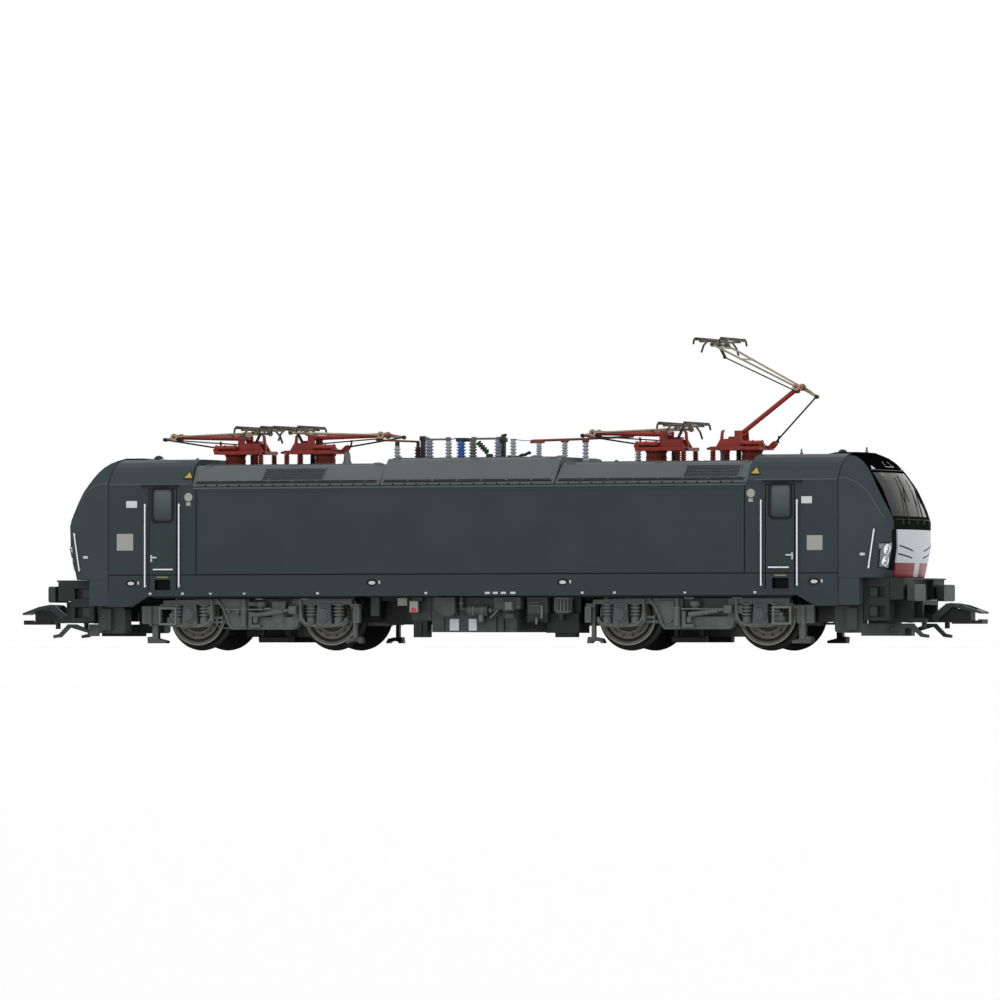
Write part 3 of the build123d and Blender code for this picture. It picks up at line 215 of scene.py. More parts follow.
def slate_nose():
    n = Net("nose_slate_paint")
    x, y, z = n.xyz()
    ax, ay = n.math("ABSOLUTE", x), n.math("ABSOLUTE", y)
    # painted highlight: the nose is coloured with the lighter copy of the body slate
    c = n.mix(n.rng(n.noise(70.0, 5.0), 0.35, 0.65, 0.0, 1.0), shade(NOSE_SLATE_LIT, 0.965), shade(NOSE_SLATE_LIT, 1.035))
    # black field round the windscreen: widest at half height, narrower over the top and at the foot
    e1 = n.rng(z, (29.5 + FL) * MM, (33.5 + FL) * MM, 12.35 * MM, 13.35 * MM)
    e2 = n.rng(z, (36.2 + FL) * MM, (42.5 + FL) * MM, 13.3 * MM, 10.7 * MM)
    edge = n.math("MINIMUM", e1, e2)
    m = n.both(n.math("LESS_THAN", ay, edge), n.math("GREATER_THAN", z, (26.45 + FL) * MM), n.math("GREATER_THAN", ax, 91.0 * MM))
    c = n.mix(m, c, MASK)
    band = n.both(n.math("LESS_THAN", ay, 12.3 * MM), n.within(z, (26.45 + FL) * MM, (29.35 + FL) * MM), n.math("GREATER_THAN", ax, 95.0 * MM))
    c = n.mix(band, c, BAND)
    # dark surround between lamp and front panel
    m2 = n.both(n.within(ay, 10.2 * MM, 13.1 * MM), n.within(z, (17.2 + FL) * MM, (26.5 + FL) * MM), n.math("GREATER_THAN", ax, 97.0 * MM))
    c = n.mix(m2, c, lin(18, 21, 22))
    inner = n.math("LESS_THAN", ax, 91.85 * MM)
    c = n.mix(inner, c, lin(5, 6, 6))
    return finish_mat(n, c, 0.5, grain=7000.0, grain_amt=0.08, spec=0.0)


def flap_paint():
    n = Net("front_panel_paint")
    x, y, z = n.xyz()
    ay = n.math("ABSOLUTE", y)
    c = n.mix(n.rng(n.noise(90.0, 4.0), 0.35, 0.65, 0.0, 1.0), shade(WHITE, 0.97), shade(WHITE, 1.0))
    red = n.both(n.math("LESS_THAN", z, (18.84 + FL) * MM), n.math("GREATER_THAN", ay, 1.55 * MM))
    c = n.mix(red, c, RED)
    line = n.both(n.within(z, (17.12 + FL) * MM, (17.34 + FL) * MM), n.math("GREATER_THAN", ay, 1.55 * MM))
    c = n.mix(line, c, lin(40, 12, 14))
    edge = n.both(n.within(z, (18.76 + FL) * MM, (18.9 + FL) * MM), n.math("GREATER_THAN", ay, 1.55 * MM))
    c = n.mix(edge, c, lin(60, 30, 32))
    return finish_mat(n, c, 0.36, grain=6000.0, grain_amt=0.06, coat=0.08)


def roof_paint():
    n = Net("roof_grey_paint")
    x, y, z = n.xyz()
    ay = n.math("ABSOLUTE", y)
    base = lin(77, 82, 82)
    c = n.mix(n.rng(n.noise(60.0, 5.0), 0.3, 0.7, 0.0, 1.0), shade(base, 0.93), shade(base, 1.05))
    # painted shade: sunk slots and grille gaps are painted dark
    slot = n.both(n.math("GREATER_THAN", ay, 16.6 * MM), n.math("LESS_THAN", ay, 17.24 * MM), n.within(z, 38.60 * MM, 38.96 * MM))
    c = n.mix(slot, c, lin(30, 32, 32))
    return finish_mat(n, c, 0.5, grain=8000.0, grain_amt=0.14, spec=0.25)


def wheel_paint(cx):
    n = Net("wheel_steel_%d" % round(cx))
    x, y, z = n.xyz((cx * MM, 0.0, 8.2 * MM))
    ay = n.math("ABSOLUTE", y)
    r = n.math("SQRT", n.math("ADD", n.math("MULTIPLY", x, x), n.math("MULTIPLY", z, z)))
    base = lin(94, 93, 86)
    c = n.mix(n.rng(n.noise(900.0, 5.0), 0.35, 0.65, 0.0, 1.0), shade(base, 0.75), shade(base, 1.15))
    # painted highlights: the thin pale rings stand for glints on the turned edges of the disc; the other rings and the
    # spots are drawn darker
    c = n.mix(n.within(r, 2.2 * MM, 3.75 * MM), c, lin(44, 43, 40))
    c = n.mix(n.within(r, 3.75 * MM, 3.98 * MM), c, lin(150, 148, 140))
    c = n.mix(n.within(r, 4.3 * MM, 4.36 * MM), c, lin(36, 36, 34))
    c = n.mix(n.within(r, 5.1 * MM, 5.18 * MM), c, lin(132, 130, 122))
    turn = n.math("COSINE", n.math("MULTIPLY", n.math("ARCTAN2", z, x), 14.0))
    c = n.mix(n.both(n.math("GREATER_THAN", turn, 0.72), n.within(r, 4.55 * MM, 4.85 * MM)), c, lin(22, 22, 21))
    c = n.mix(n.within(r, 5.5 * MM, 6.05 * MM), c, lin(24, 24, 22))
    c = n.mix(n.within(r, 6.05 * MM, 6.2 * MM), c, lin(118, 116, 108))
    c = n.mix(n.within(r, 6.76 * MM, 6.96 * MM), c, lin(168, 166, 156))
    # painted shade: everything inboard of the outer face is painted nearly black, and the flange behind it dark
    c = n.mix(n.math("LESS_THAN", ay, 9.12 * MM), c, lin(16, 16, 15))
    c = n.mix(n.both(n.math("LESS_THAN", ay, 9.9 * MM), n.math("GREATER_THAN", r, 6.93 * MM)), c, lin(26, 26, 25))
    b = n.bsdf
    n.put(b.inputs["Base Color"], c)
    b.inputs["Specular IOR Level"].default_value = 0.3
    n.put(b.inputs["Roughness"], n.rng(n.noise(500.0, 3.0), 0.3, 0.7, 0.38, 0.5))
    # fine turning marks round the axle
    w = n.math("SINE", n.math("MULTIPLY", r, 36000.0))
    n.link(n.bump(w, 0.12, 0.00002), b.inputs["Normal"])
    return n.mat


def under_paint(name, col, y0, y1, low, gloss=0.25, marks=()):
    """Moulded underframe plastic with painted shade: dark in the depth, full grey on what stands outside."""
    n = Net(name)
    x, y, z = n.xyz()
    ay = n.math("ABSOLUTE", y)
    c = n.mix(n.rng(n.noise(300.0, 5.0), 0.35, 0.65, 0.0, 1.0), shade(col, 0.86), shade(col, 1.12))
    c = n.mix(n.rng(n.noise(700.0, 6.0, 0.7), 0.45, 0.75, 0.0, 0.08), c, lin(110, 108, 100))
    for m0, m1, z0, z1, mc in marks:
        c = n.mix(n.both(n.within(x, m0 * MM, m1 * MM), n.within(z, (z0 + FL) * MM, (z1 + FL) * MM)), c, mc)
    c = painted_depth_shade(n, c, ay, y0, y1, low)
    return finish_mat(n, c, 0.55, grain=6000.0, grain_amt=0.3, spec=gloss)


def pane(name, dark, light, axis, a0, a1, rough, alpha):
    """Smoked pane: from a dark edge to a lighter middle; on the door windows the lighter top is a painted reflection.
    """
    n = Net(name)
    x, y, z = n.xyz()
    v = n.math("ABSOLUTE", y) if axis == "y" else z
    c = n.mix(n.rng(v, a0 * MM, a1 * MM, 0.0, 1.0), dark, light)
    c = n.mix(n.rng(n.noise(90.0, 3.0), 0.3, 0.7, 0.0, 0.25), c, shade(dark, 1.3))
    b = n.bsdf
    n.put(b.inputs["Base Color"], c)
    n.put(b.inputs["Roughness"], n.rng(n.noise(300.0, 3.0), 0.3, 0.7, rough, rough + 0.05))
    b.inputs["Specular IOR Level"].default_value = 0.16
    b.inputs["Transmission Weight"].default_value = alpha
    b.inputs["IOR"].default_value = 1.49
    return n.mat


def head_paint(hx):
    """Collector head: black contact strips and horns on a dull brass-coloured frame."""
    n = Net("collector_head_%d" % round(hx))
    x, y, z = n.xyz()
    ay = n.math("ABSOLUTE", y)
    c = n.mix(n.rng(n.noise(900.0, 4.0), 0.3, 0.7, 0.0, 1.0), lin(24, 24, 22), lin(44, 42, 38))
    frame_ = n.both(n.within(ay, 3.85 * MM, 4.45 * MM), n.math("LESS_THAN", z, 1.0))
    c = n.mix(frame_, c, lin(96, 90, 70))
    return finish_mat(n, c, 0.5, metal=0.2, spec=0.3)


def glass(name, tint, alpha, rough=0.05):
    n = Net(name)
    b = n.bsdf
    c = n.mix(n.rng(n.noise(140.0, 3.0), 0.3, 0.7, 0.0, 1.0), shade(tint, 0.85), shade(tint, 1.1))
    n.put(b.inputs["Base Color"], c)
    n.put(b.inputs["Roughness"], n.rng(n.noise(300.0, 3.0), 0.3, 0.7, rough, rough + 0.05))
    b.inputs["IOR"].default_value = 1.49
    b.inputs["Transmission Weight"].default_value = alpha
    b.inputs["Coat Weight"].default_value = 0.4
    n.mat.blend_method = "BLEND"
    return n.mat


def metal(name, col, rough=0.3, var=0.1, streak=None):
    n = Net(name)
    c = n.mix(n.rng(n.noise(1200.0, 4.0, stretch=streak), 0.3, 0.7, 0.0, 1.0), shade(col, 1 - var), shade(col, 1 + var))
    b = n.bsdf
    n.put(b.inputs["Base Color"], c)
    b.inputs["Metallic"].default_value = 0.95
    n.put(b.inputs["Roughness"], n.rng(n.noise(900.0, 3.0), 0.3, 0.7, rough - 0.07, rough + 0.1))
    n.link(n.bump(n.noise(9000.0, 2.0), 0.08, 0.00002), b.inputs["Normal"])
    return n.mat


M = {
    "body": slate_body(),
    "nose": slate_nose(),
    "flap": flap_paint(),
    "roof": roof_paint(),
    "glass": pane("windscreen_smoked", lin(50, 53, 48), lin(10, 12, 13), "y", 5.4, 8.8, 0.08, 0.08),
    # painted reflection: the door glass is painted lighter towards the top
    "door_glass": pane("door_glass_smoked", lin(50, 56, 58), lin(84, 93, 96), "z", 31.0, 38.0, 0.1, 0.06),
    "lens": glass("clear_lens_mat", lin(235, 240, 244), 0.85, 0.05),
    "chrome": metal("reflector_chrome", lin(225, 228, 232), 0.18, 0.04),
    # painted shade: the under_paint finishes here (underframe, underframe dark, underfloor) go dark towards the middle,
    # in the depth under the body
    "frame": under_paint("underframe_plastic", lin(80, 83, 82), 11.7, 13.3, 0.10),
    "plough": paint("plough_grey", lin(56, 60, 58), 0.55, var=0.1, grain_amt=0.2),
    "frame_dark": under_paint("underframe_dark", lin(26, 28, 28), 8.0, 15.0, 0.3, 0.15),
    "equip": under_paint("underfloor_plastic", lin(54, 58, 57), 10.6, 13.7, 0.12, 0.25, ((-24.0, -15.5, 4.0, 12.0, lin(12, 14, 14)), (12.9, 26.4, 0.0, 7.5, lin(34, 38, 37)), (14.4, 18.4, 0.0, 5.45, lin(7, 8, 8)), (-16.0, -11.0, 0.0, 5.8, lin(30, 33, 33)))),
    "beam": paint("buffer_beam_grey", lin(31, 34, 34), 0.5, var=0.07, grain=6000.0, grain_amt=0.2),
    "black": paint("moulded_black", lin(14, 15, 15), 0.45, var=0.1, grain_amt=0.15),
    "buffer": paint("buffer_plate_grey", lin(46, 48, 48), 0.42, var=0.06, grain_amt=0.15),
    "rubber": paint("rubber_black", lin(7, 8, 8), 0.6, var=0.1, grain_amt=0.1),
    "white": paint("white_enamel", lin(214, 216, 218), 0.35, var=0.02),
    "label": paint("label_white", lin(176, 180, 182), 0.45, var=0.03),
    "plate": paint("plate_grey", lin(138, 139, 134), 0.42, var=0.05),
    "plate_gold": paint("plate_corner", lin(136, 126, 72), 0.42, var=0.05),
    "badge": paint("badge_grey", lin(158, 164, 166), 0.45, var=0.05),
    "yellow": paint("yellow_enamel", lin(158, 136, 52), 0.4, var=0.05),
    "red_mark": paint("red_mark", lin(172, 62, 56), 0.45, var=0.05),
    "panto": paint("pantograph_red", lin(124, 34, 24), 0.40, var=0.08, scale=300.0, grain=5000.0, grain_amt=0.2, coat=0.1),
    "panto_drum": paint("insulator_red", lin(104, 32, 23), 0.45, var=0.08, grain_amt=0.2),
    "brown_red": paint("insulator_brown", lin(58, 24, 18), 0.4, var=0.08),
    "silver": metal("arm_nickel", lin(142, 132, 112), 0.42, 0.1),
    "brass": metal("arm_brass", lin(190, 178, 140), 0.3, 0.06),
    "dark": metal("rod_dark", lin(44, 42, 40), 0.5, 0.12),
    "strip": paint("contact_strip", lin(58, 56, 54), 0.5, metal=0.3, var=0.12),
    "coupler": paint("coupler_steel_mat", lin(46, 49, 50), 0.45, metal=0.4, var=0.1),
    "coupler_black": paint("coupler_black", lin(18, 19, 19), 0.5, var=0.1, grain_amt=0.2),
    "busbar": paint("busbar_copper_red", lin(98, 52, 42), 0.4, metal=0.2, var=0.08),
    "ins_white": paint("insulator_white", lin(150, 153, 158), 0.3, var=0.04, coat=0.3),
    "ins_lilac": paint("insulator_lilac", lin(124, 128, 148), 0.32, var=0.05, coat=0.3),
    "ins_blue": paint("insulator_blue", lin(52, 98, 168), 0.3, var=0.06, coat=0.3),
    "ins_grey": paint("insulator_grey", lin(102, 104, 104), 0.4, var=0.06),
    "green": paint("switch_green", lin(38, 66, 40), 0.45, var=0.08),
    "bar_grey": paint("bar_grey", lin(88, 92, 88), 0.42, metal=0.3, var=0.08),
    "fit_dark": paint("roof_fitting_dark", lin(32, 35, 36), 0.45, var=0.08),
    "cab": paint("cab_inside", lin(64, 66, 62), 0.7, var=0.08),
    "motor": paint("ballast_block", lin(88, 88, 90), 0.5, metal=0.6, var=0.1),
    "grille": paint("grille_dark", lin(40, 43, 42), 0.55, var=0.08),
    # painted highlight: raised rims, coils and fittings on the bogies and underfloor are painted a lighter grey than
    # the frame, standing for lit edges
    "highlight_grey": paint("edge_highlight_grey", lin(94, 98, 96), 0.5, var=0.08),
    # painted highlight: a lighter slate for the gutter lips and the nose creases
    "slate_highlight": paint("slate_highlight_paint", lin(72, 79, 82), 0.5, var=0.05),
    "cover_grey": paint("axlebox_cover_grey", lin(70, 74, 78), 0.5, var=0.06, grain_amt=0.2),
}


# ================================================================ CAD nodes get their finish
def set_mat(name, mat):
    o = NODES[name]
    o.data.materials.clear()
    o.data.materials.append(mat)


PLAIN = {
    "body_shell": "body", "cab_nose_front": "nose", "cab_nose_rear": "nose", "windscreens": "glass", "door_windows": "door_glass",
    "front_flaps": "flap", "headlights": "lens", "roof_hatch_front": "roof", "roof_hatch_middle": "roof", "roof_hatch_rear": "roof",
    "chassis_frame": "frame_dark", "motor_block": "motor", "cab_interiors": "cab", "underfloor_equipment": "equip",
    "buffer_beams": "beam", "buffers": "buffer", "rail_ploughs": "plough", "handrails": "white", "wipers": "rubber",
    "bogie_frame_front": "frame", "bogie_frame_rear": "frame", "coupler_front": "coupler_black", "coupler_rear": "coupler_black",
    "coupler_bail_front": "coupler", "coupler_bail_rear": "coupler",
    "roof_insulators": "panto_drum", "roof_switchgear": "brown_red", "roof_busbars": "busbar", "roof_fittings": "fit_dark",
}
for nm, k in PLAIN.items():
    if nm in NODES:
        set_mat(nm, M[k])
for i, cx in enumerate((-71.84, -37.36, 37.36, 71.84), 1):
    set_mat("wheelset_%d" % i, wheel_paint(cx))
for i in range(1, 5):
    set_mat("pantograph_base_%d" % i, M["panto"])
    set_mat("lower_arm_%d" % i, M["panto"])
    set_mat("upper_arm_%d" % i, M["silver"])
    set_mat("thrust_rod_%d" % i, M["dark"])
    set_mat("guide_rod_%d" % i, M["dark"])
    set_mat("pan_head_%d" % i, head_paint(i))


# ================================================================ geometry helper
class B:
    """Collects geometry in mm, heights above the rail top, and makes one piece of it."""

    def __init__(self):
        self.bm = bmesh.new()

    def poly(self, verts, faces):
        vs = [self.bm.verts.new(v) for v in verts]
        out = []
        for f in faces:
            out.append(self.bm.faces.new([vs[i] for i in f]))
        return vs

    def prism(self, ring0, ring1):
        """Closed solid between two rings of the same number of points."""
        n = len(ring0)
        vs = [self.bm.verts.new(v) for v in list(ring0) + list(ring1)]
        self.bm.faces.new(vs[:n][::-1])
        self.bm.faces.new(vs[n:])
        for i in range(n):
            j = (i + 1) % n
            self.bm.faces.new((vs[i], vs[j], vs[n + j], vs[n + i]))
        return vs

    def box(self, x0, x1, y0, y1, z0, z1, b=0.0):
        """Box; with b its long edges along every axis are chamfered."""
        x0, x1 = sorted((x0, x1)); y0, y1 = sorted((y0, y1)); z0, z1 = sorted((z0, z1))
        if b <= 0:
            r0 = [(x0, y0, z0), (x1, y0, z0), (x1, y1, z0), (x0, y1, z0)]
            return self.prism(r0, [(x, y, z1) for x, y, _ in r0])
        b = min(b, (x1 - x0) / 2.2, (y1 - y0) / 2.2, (z1 - z0) / 2.2)

        def ring(z, i):
            return [(x0 + b + i, y0 + i, z), (x1 - b - i, y0 + i, z), (x1 - i, y0 + b + i, z), (x1 - i, y1 - b - i, z), (x1 - b - i, y1 - i, z), (x0 + b + i, y1 - i, z), (x0 + i, y1 - b - i, z), (x0 + i, y0 + b + i, z)]
        rings = [ring(z0, b * 0.55), ring(z0 + b, 0), ring(z1 - b, 0), ring(z1, b * 0.55)]
        return self.loft(rings)

    def loft(self, rings, cap=True, closed=True):
        n = len(rings[0])
        vv = [[self.bm.verts.new(p) for p in r] for r in rings]
        if cap:
            self.bm.faces.new(vv[0][::-1])
            self.bm.faces.new(vv[-1])
        for a, b in zip(vv, vv[1:]):
            for i in range(n if closed else n - 1):
                j = (i + 1) % n
                self.bm.faces.new((a[i], a[j], b[j], b[i]))
        return [v for r in vv for v in r]

    def frame_of(self, d):
        d = Vector(d).normalized()
        u = d.orthogonal().normalized()
        if abs(d.y) > 0.9:
            u = Vector((1, 0, 0))
        elif abs(d.z) > 0.9:
            u = Vector((1, 0, 0))
        elif abs(d.x) > 0.9:
            u = Vector((0, 0, 1))
        u = (u - d * u.dot(d)).normalized()
        return d, u, d.cross(u)

    def lathe(self, p, d, prof, n=20):
        """prof is a list of (distance along d, radius)."""
        p = Vector(p)
        d, u, w = self.frame_of(d)
        rings = []
        for h, r in prof:
            r = max(r, 0.004)
            rings.append([tuple(p + d * h + u * (r * math.cos(2 * math.pi * i / n)) + w * (r * math.sin(2 * math.pi * i / n))) for i in range(n)])
        return self.loft(rings)

    def cyl(self, p, q, r, n=14, ch=0.0):
        v = Vector(q) - Vector(p)
        L = v.length
        if ch:
            ch = min(ch, r * 0.45, L * 0.45)
            return self.lathe(p, v, [(0, r - ch), (ch, r), (L - ch, r), (L, r - ch)], n)
        return self.lathe(p, v, [(0, r), (L, r)], n)

    def tube(self, pts, r, n=10):
        pts = [Vector(p) for p in pts]
        rings = []
        prev = None
        for i, p in enumerate(pts):
            if i == 0:
                d = pts[1] - p
            elif i == len(pts) - 1:
                d = p - pts[i - 1]
            else:
                d = (pts[i + 1] - p).normalized() + (p - pts[i - 1]).normalized()
            d = d.normalized()
            if prev is None:
                _, u, _ = self.frame_of(d)
            else:
                u = (prev - d * prev.dot(d)).normalized()
            prev = u
            w = d.cross(u)
            rings.append([tuple(p + u * (r * math.cos(2 * math.pi * k / n)) + w * (r * math.sin(2 * math.pi * k / n))) for k in range(n)])
        return self.loft(rings)

    def torus(self, c, d, R, r, n=28, m=8, a0=0.0, a1=360.0):
        c = Vector(c)
        d, u, w = self.frame_of(d)
        full = abs(a1 - a0) >= 359.9
        vv = []
        steps = n if full else n + 1
        for i in range(steps):
            a = math.radians(a0 + (a1 - a0) * i / n)
            e = u * math.cos(a) + w * math.sin(a)
            vv.append([self.bm.verts.new(c + e * (R + r * math.cos(2 * math.pi * k / m)) + d * (r * math.sin(2 * math.pi * k / m))) for k in range(m)])
        for i in range(n):
            A, Bv = vv[i], vv[(i + 1) % steps]
            for k in range(m):
                l = (k + 1) % m
                self.bm.faces.new((A[k], Bv[k], Bv[l], A[l]))
        if not full:
            self.bm.faces.new(vv[0])
            self.bm.faces.new(vv[-1][::-1])

    def helix(self, c, r, wire, z0, z1, turns, n=14):
        pts = []
        k = int(turns * n)
        for i in range(k + 1):
            a = 2 * math.pi * i / n
            pts.append((c[0] + r * math.cos(a), c[1] + r * math.sin(a), z0 + (z1 - z0) * i / k))
        self.tube(pts, wire, 7)

    def ball(self, c, r, n=10):
        prof = [(r * (1 - math.cos(math.pi * i / n)), r * math.sin(math.pi * i / n)) for i in range(n + 1)]
        self.lathe((c[0], c[1], c[2] - r), (0, 0, 1), prof, max(10, n + 4))

    def bolt(self, p, d, r=0.22, h=0.14):
        p = Vector(p)
        dd = Vector(d).normalized()
        self.lathe(p - dd * 0.02, dd, [(0, r), (h * 0.75, r), (h, r * 0.72)], 6)

    def rrect(self, x0, x1, z0, z1, r, n=5):
        pts = []
        for cx, cz, a0 in ((x1 - r, z1 - r, 0), (x0 + r, z1 - r, 90), (x0 + r, z0 + r, 180), (x1 - r, z0 + r, 270)):
            for i in range(n + 1):
                a = math.radians(a0 + 90 * i / n)
                pts.append((cx + r * math.cos(a), cz + r * math.sin(a)))
        return pts

    def plate(self, pts, y_in, y_out, b=0.05, inset=None):
        """Plate with its outline in X and Z, standing from y_in to y_out, its outer edge chamfered by b."""
        sg = 1 if y_out > y_in else -1
        cx = sum(p[0] for p in pts) / len(pts); cz = sum(p[1] for p in pts) / len(pts)

        def shrink(k):
            out = []
            n = len(pts)
            for i in range(n):
                p0, p1, p2 = Vector(pts[i - 1]), Vector(pts[i]), Vector(pts[(i + 1) % n])
                e0, e1 = (p1 - p0), (p2 - p1)
                if e0.length < 1e-6 or e1.length < 1e-6:
                    out.append((p1.x, p1.y)); continue
                e0.normalize(); e1.normalize()
                nn = Vector((-e0.y - e1.y, e0.x + e1.x))
                if nn.length < 1e-6:
                    nn = Vector((-e0.y, e0.x))
                nn.normalize()
                dsc = max(0.5, nn.dot(Vector((-e0.y, e0.x))))
                if (Vector((cx, cz)) - p1).dot(nn) < 0:
                    nn = -nn
                q = p1 + nn * (k / dsc)
                out.append((q.x, q.y))
            return out
        inner = shrink(b)
        rings = [[(x, y_in, z) for x, z in pts], [(x, y_out - sg * b, z) for x, z in pts], [(x, y_out, z) for x, z in inner]]
        return self.loft(rings)

    def ring_plate(self, outer, inner, y_in, y_out):
        """Flat ring between two outlines with the same number of points."""
        n = len(outer)
        sg = 1 if y_out > y_in else -1
        R = [[(x, y_in, z) for x, z in outer], [(x, y_out, z) for x, z in outer], [(x, y_out, z) for x, z in inner], [(x, y_in, z) for x, z in inner]]
        vv = [[self.bm.verts.new(p) for p in r] for r in R]
        vv.append(vv[0])
        for a, b in zip(vv, vv[1:]):
            for i in range(n):
                j = (i + 1) % n
                self.bm.faces.new((a[i], a[j], b[j], b[i]))

    def mirror(self, sx=1, sy=1, only=None):
        """Adds a copy mirrored in X and/or Y (sx or sy = -1) of all geometry so far."""
        geom = list(self.bm.verts) + list(self.bm.edges) + list(self.bm.faces)
        d = bmesh.ops.duplicate(self.bm, geom=geom)["geom"]
        for v in [g for g in d if isinstance(g, bmesh.types.BMVert)]:
            v.co.x *= sx
            v.co.y *= sy

    def shift_copy(self, dx, rot=False, cx=0.0):
        geom = list(self.bm.verts) + list(self.bm.edges) + list(self.bm.faces)
        d = bmesh.ops.duplicate(self.bm, geom=geom)["geom"]
        for v in [g for g in d if isinstance(g, bmesh.types.BMVert)]:
            if rot:
                v.co.x = 2 * cx - v.co.x
                v.co.y = -v.co.y
            v.co.x += dx

    def done(self, name, mat, body="loco_body", slot=None, angle=34.0, bevel=0.0, rail=True, replaces=()):
        bm = self.bm
        bmesh.ops.recalc_face_normals(bm, faces=bm.faces)
        for v in bm.verts:
            v.co = Vector((v.co.x * MM, v.co.y * MM, (v.co.z + (FL if rail else 0.0)) * MM))
        bm.normal_update()
        for e in bm.edges:
            if len(e.link_faces) == 2:
                e.smooth = e.calc_face_angle(0.0) < math.radians(angle)
        for f in bm.faces:
            f.smooth = True
        me = bpy.data.meshes.new(name)
        bm.to_mesh(me)
        bm.free()
        me.materials.append(mat if not isinstance(mat, str) else M[mat])
        o = bpy.data.objects.new(name, me)
        bpy.context.scene.collection.objects.link(o)
        if bevel:
            mo = o.modifiers.new("edge", "BEVEL")
            mo.width = bevel * MM
            mo.segments = 2
            mo.limit_method = "ANGLE"
            mo.angle_limit = math.radians(40)
            mo.harden_normals = False
        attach(o, body)
        if replaces:
            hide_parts(*replaces)
        return o


# ================================================================ body side fittings
b = B()
for sy in (-1, 1):
    b.plate(b.rrect(-68.8, 68.8, 16.82, 35.9, 1.1), sy * 17.2, sy * 17.43, 0.09)
b.done("side_panels", "body", slot="body_slate")

# painted highlight: the lips under the gutter and over the cab sides are a lighter slate than the side
b = B()
for sy in (-1, 1):
    prof = [(17.2, 36.72), (17.42, 36.76), (17.55, 36.9), (17.55, 37.05), (17.42, 37.17), (17.2, 37.19)]
    b.prism([(-69.7, sy * y, z) for y, z in prof], [(69.5, sy * y, z) for y, z in prof])
    prof = [(17.2, 37.86), (17.36, 37.9), (17.36, 38.02), (17.12, 38.14)]
    for sx in (-1, 1):
        b.prism([(sx * 71.2, sy * y, z) for y, z in prof], [(sx * 91.5, sy * y, z) for y, z in prof])
b.done("gutter_lips", "slate_highlight", slot="body_slate")

# painted shade: the long black strip stands for the shaded gap along the gutter, just above the lip; the short boxes
# over the doors are drip rails
b = B()
for sy in (-1, 1):
    b.box(-69.8, 69.6, sy * 17.15, sy * 17.33, 37.2, 37.42)
    for sx in (-1, 1):
        b.box(sx * 73.4, sx * 83.1, sy * 17.2, sy * 17.85, 37.42, 37.72, 0.08)
b.done("gap_shade_and_drip_rails", "rubber", slot="body_slate")

b, c_, d_ = B(), B(), B()
for sy in (-1, 1):
    for sx in (-1, 1):
        X0, X1, Z0, Z1 = 75.25, 80.2, 29.3, 36.8
        o_ = [(sx * x, z) for x, z in b.rrect(X0 - 0.42, X1 + 0.42, Z0 - 0.42, Z1 + 0.42, 1.15)]
        i_ = [(sx * x, z) for x, z in b.rrect(X0 + 0.12, X1 - 0.12, Z0 + 0.12, Z1 - 0.12, 0.7)]
        b.ring_plate(o_, i_, sy * 17.0, sy * 17.45)
        o2 = [(sx * x, z) for x, z in b.rrect(X0 + 0.13, X1 - 0.13, Z0 + 0.13, Z1 - 0.13, 0.7)]
        i2 = [(sx * x, z) for x, z in b.rrect(X0 + 0.38, X1 - 0.38, Z0 + 0.38, Z1 - 0.38, 0.5)]
        c_.box(sx * (X0 + 0.3), sx * (X1 - 0.3), sy * 17.0, sy * 17.25, Z1 - 0.3, Z1 - 0.12, 0.04)
        c_.box(sx * (X0 + 0.1), sx * (X0 + 0.26), sy * 17.0, sy * 17.25, Z0 + 0.4, Z1 - 0.4, 0.04) if sx > 0 else c_.box(sx * (X1 - 0.1), sx * (X1 - 0.26), sy * 17.0, sy * 17.25, Z0 + 0.4, Z1 - 0.4, 0.04)
        # door handle with its back plate, foot rim under the step, thin strip over it
        hx = sx * 80.6
        d_.box(hx - 0.22, hx + 0.22, sy * 17.2, sy * 17.42, 19.7, 21.3, 0.08)
        d_.box(min(hx, hx - sx * 1.5), max(hx, hx - sx * 1.5), sy * 17.42, sy * 17.72, 20.55, 20.9, 0.08)
b.done("window_gaskets", "rubber", slot="smoked_glass")
c_.done("window_frames", "bar_grey", slot="smoked_glass")
d_.done("door_handles", "label", slot="rail_white")

b, c_ = B(), B()
for sy in (-1, 1):
    for sx in (-1, 1):
        b.box(sx * 75.5, sx * 79.9, sy * 17.0, sy * 17.48, 12.72, 12.98, 0.07)
        c_.box(sx * 76.3, sx * 79.2, sy * 17.2, sy * 17.38, 15.95, 16.2, 0.04)
b.done("step_rims", "buffer", slot="body_slate")
c_.done("step_strips", "plate_gold", slot="body_slate")

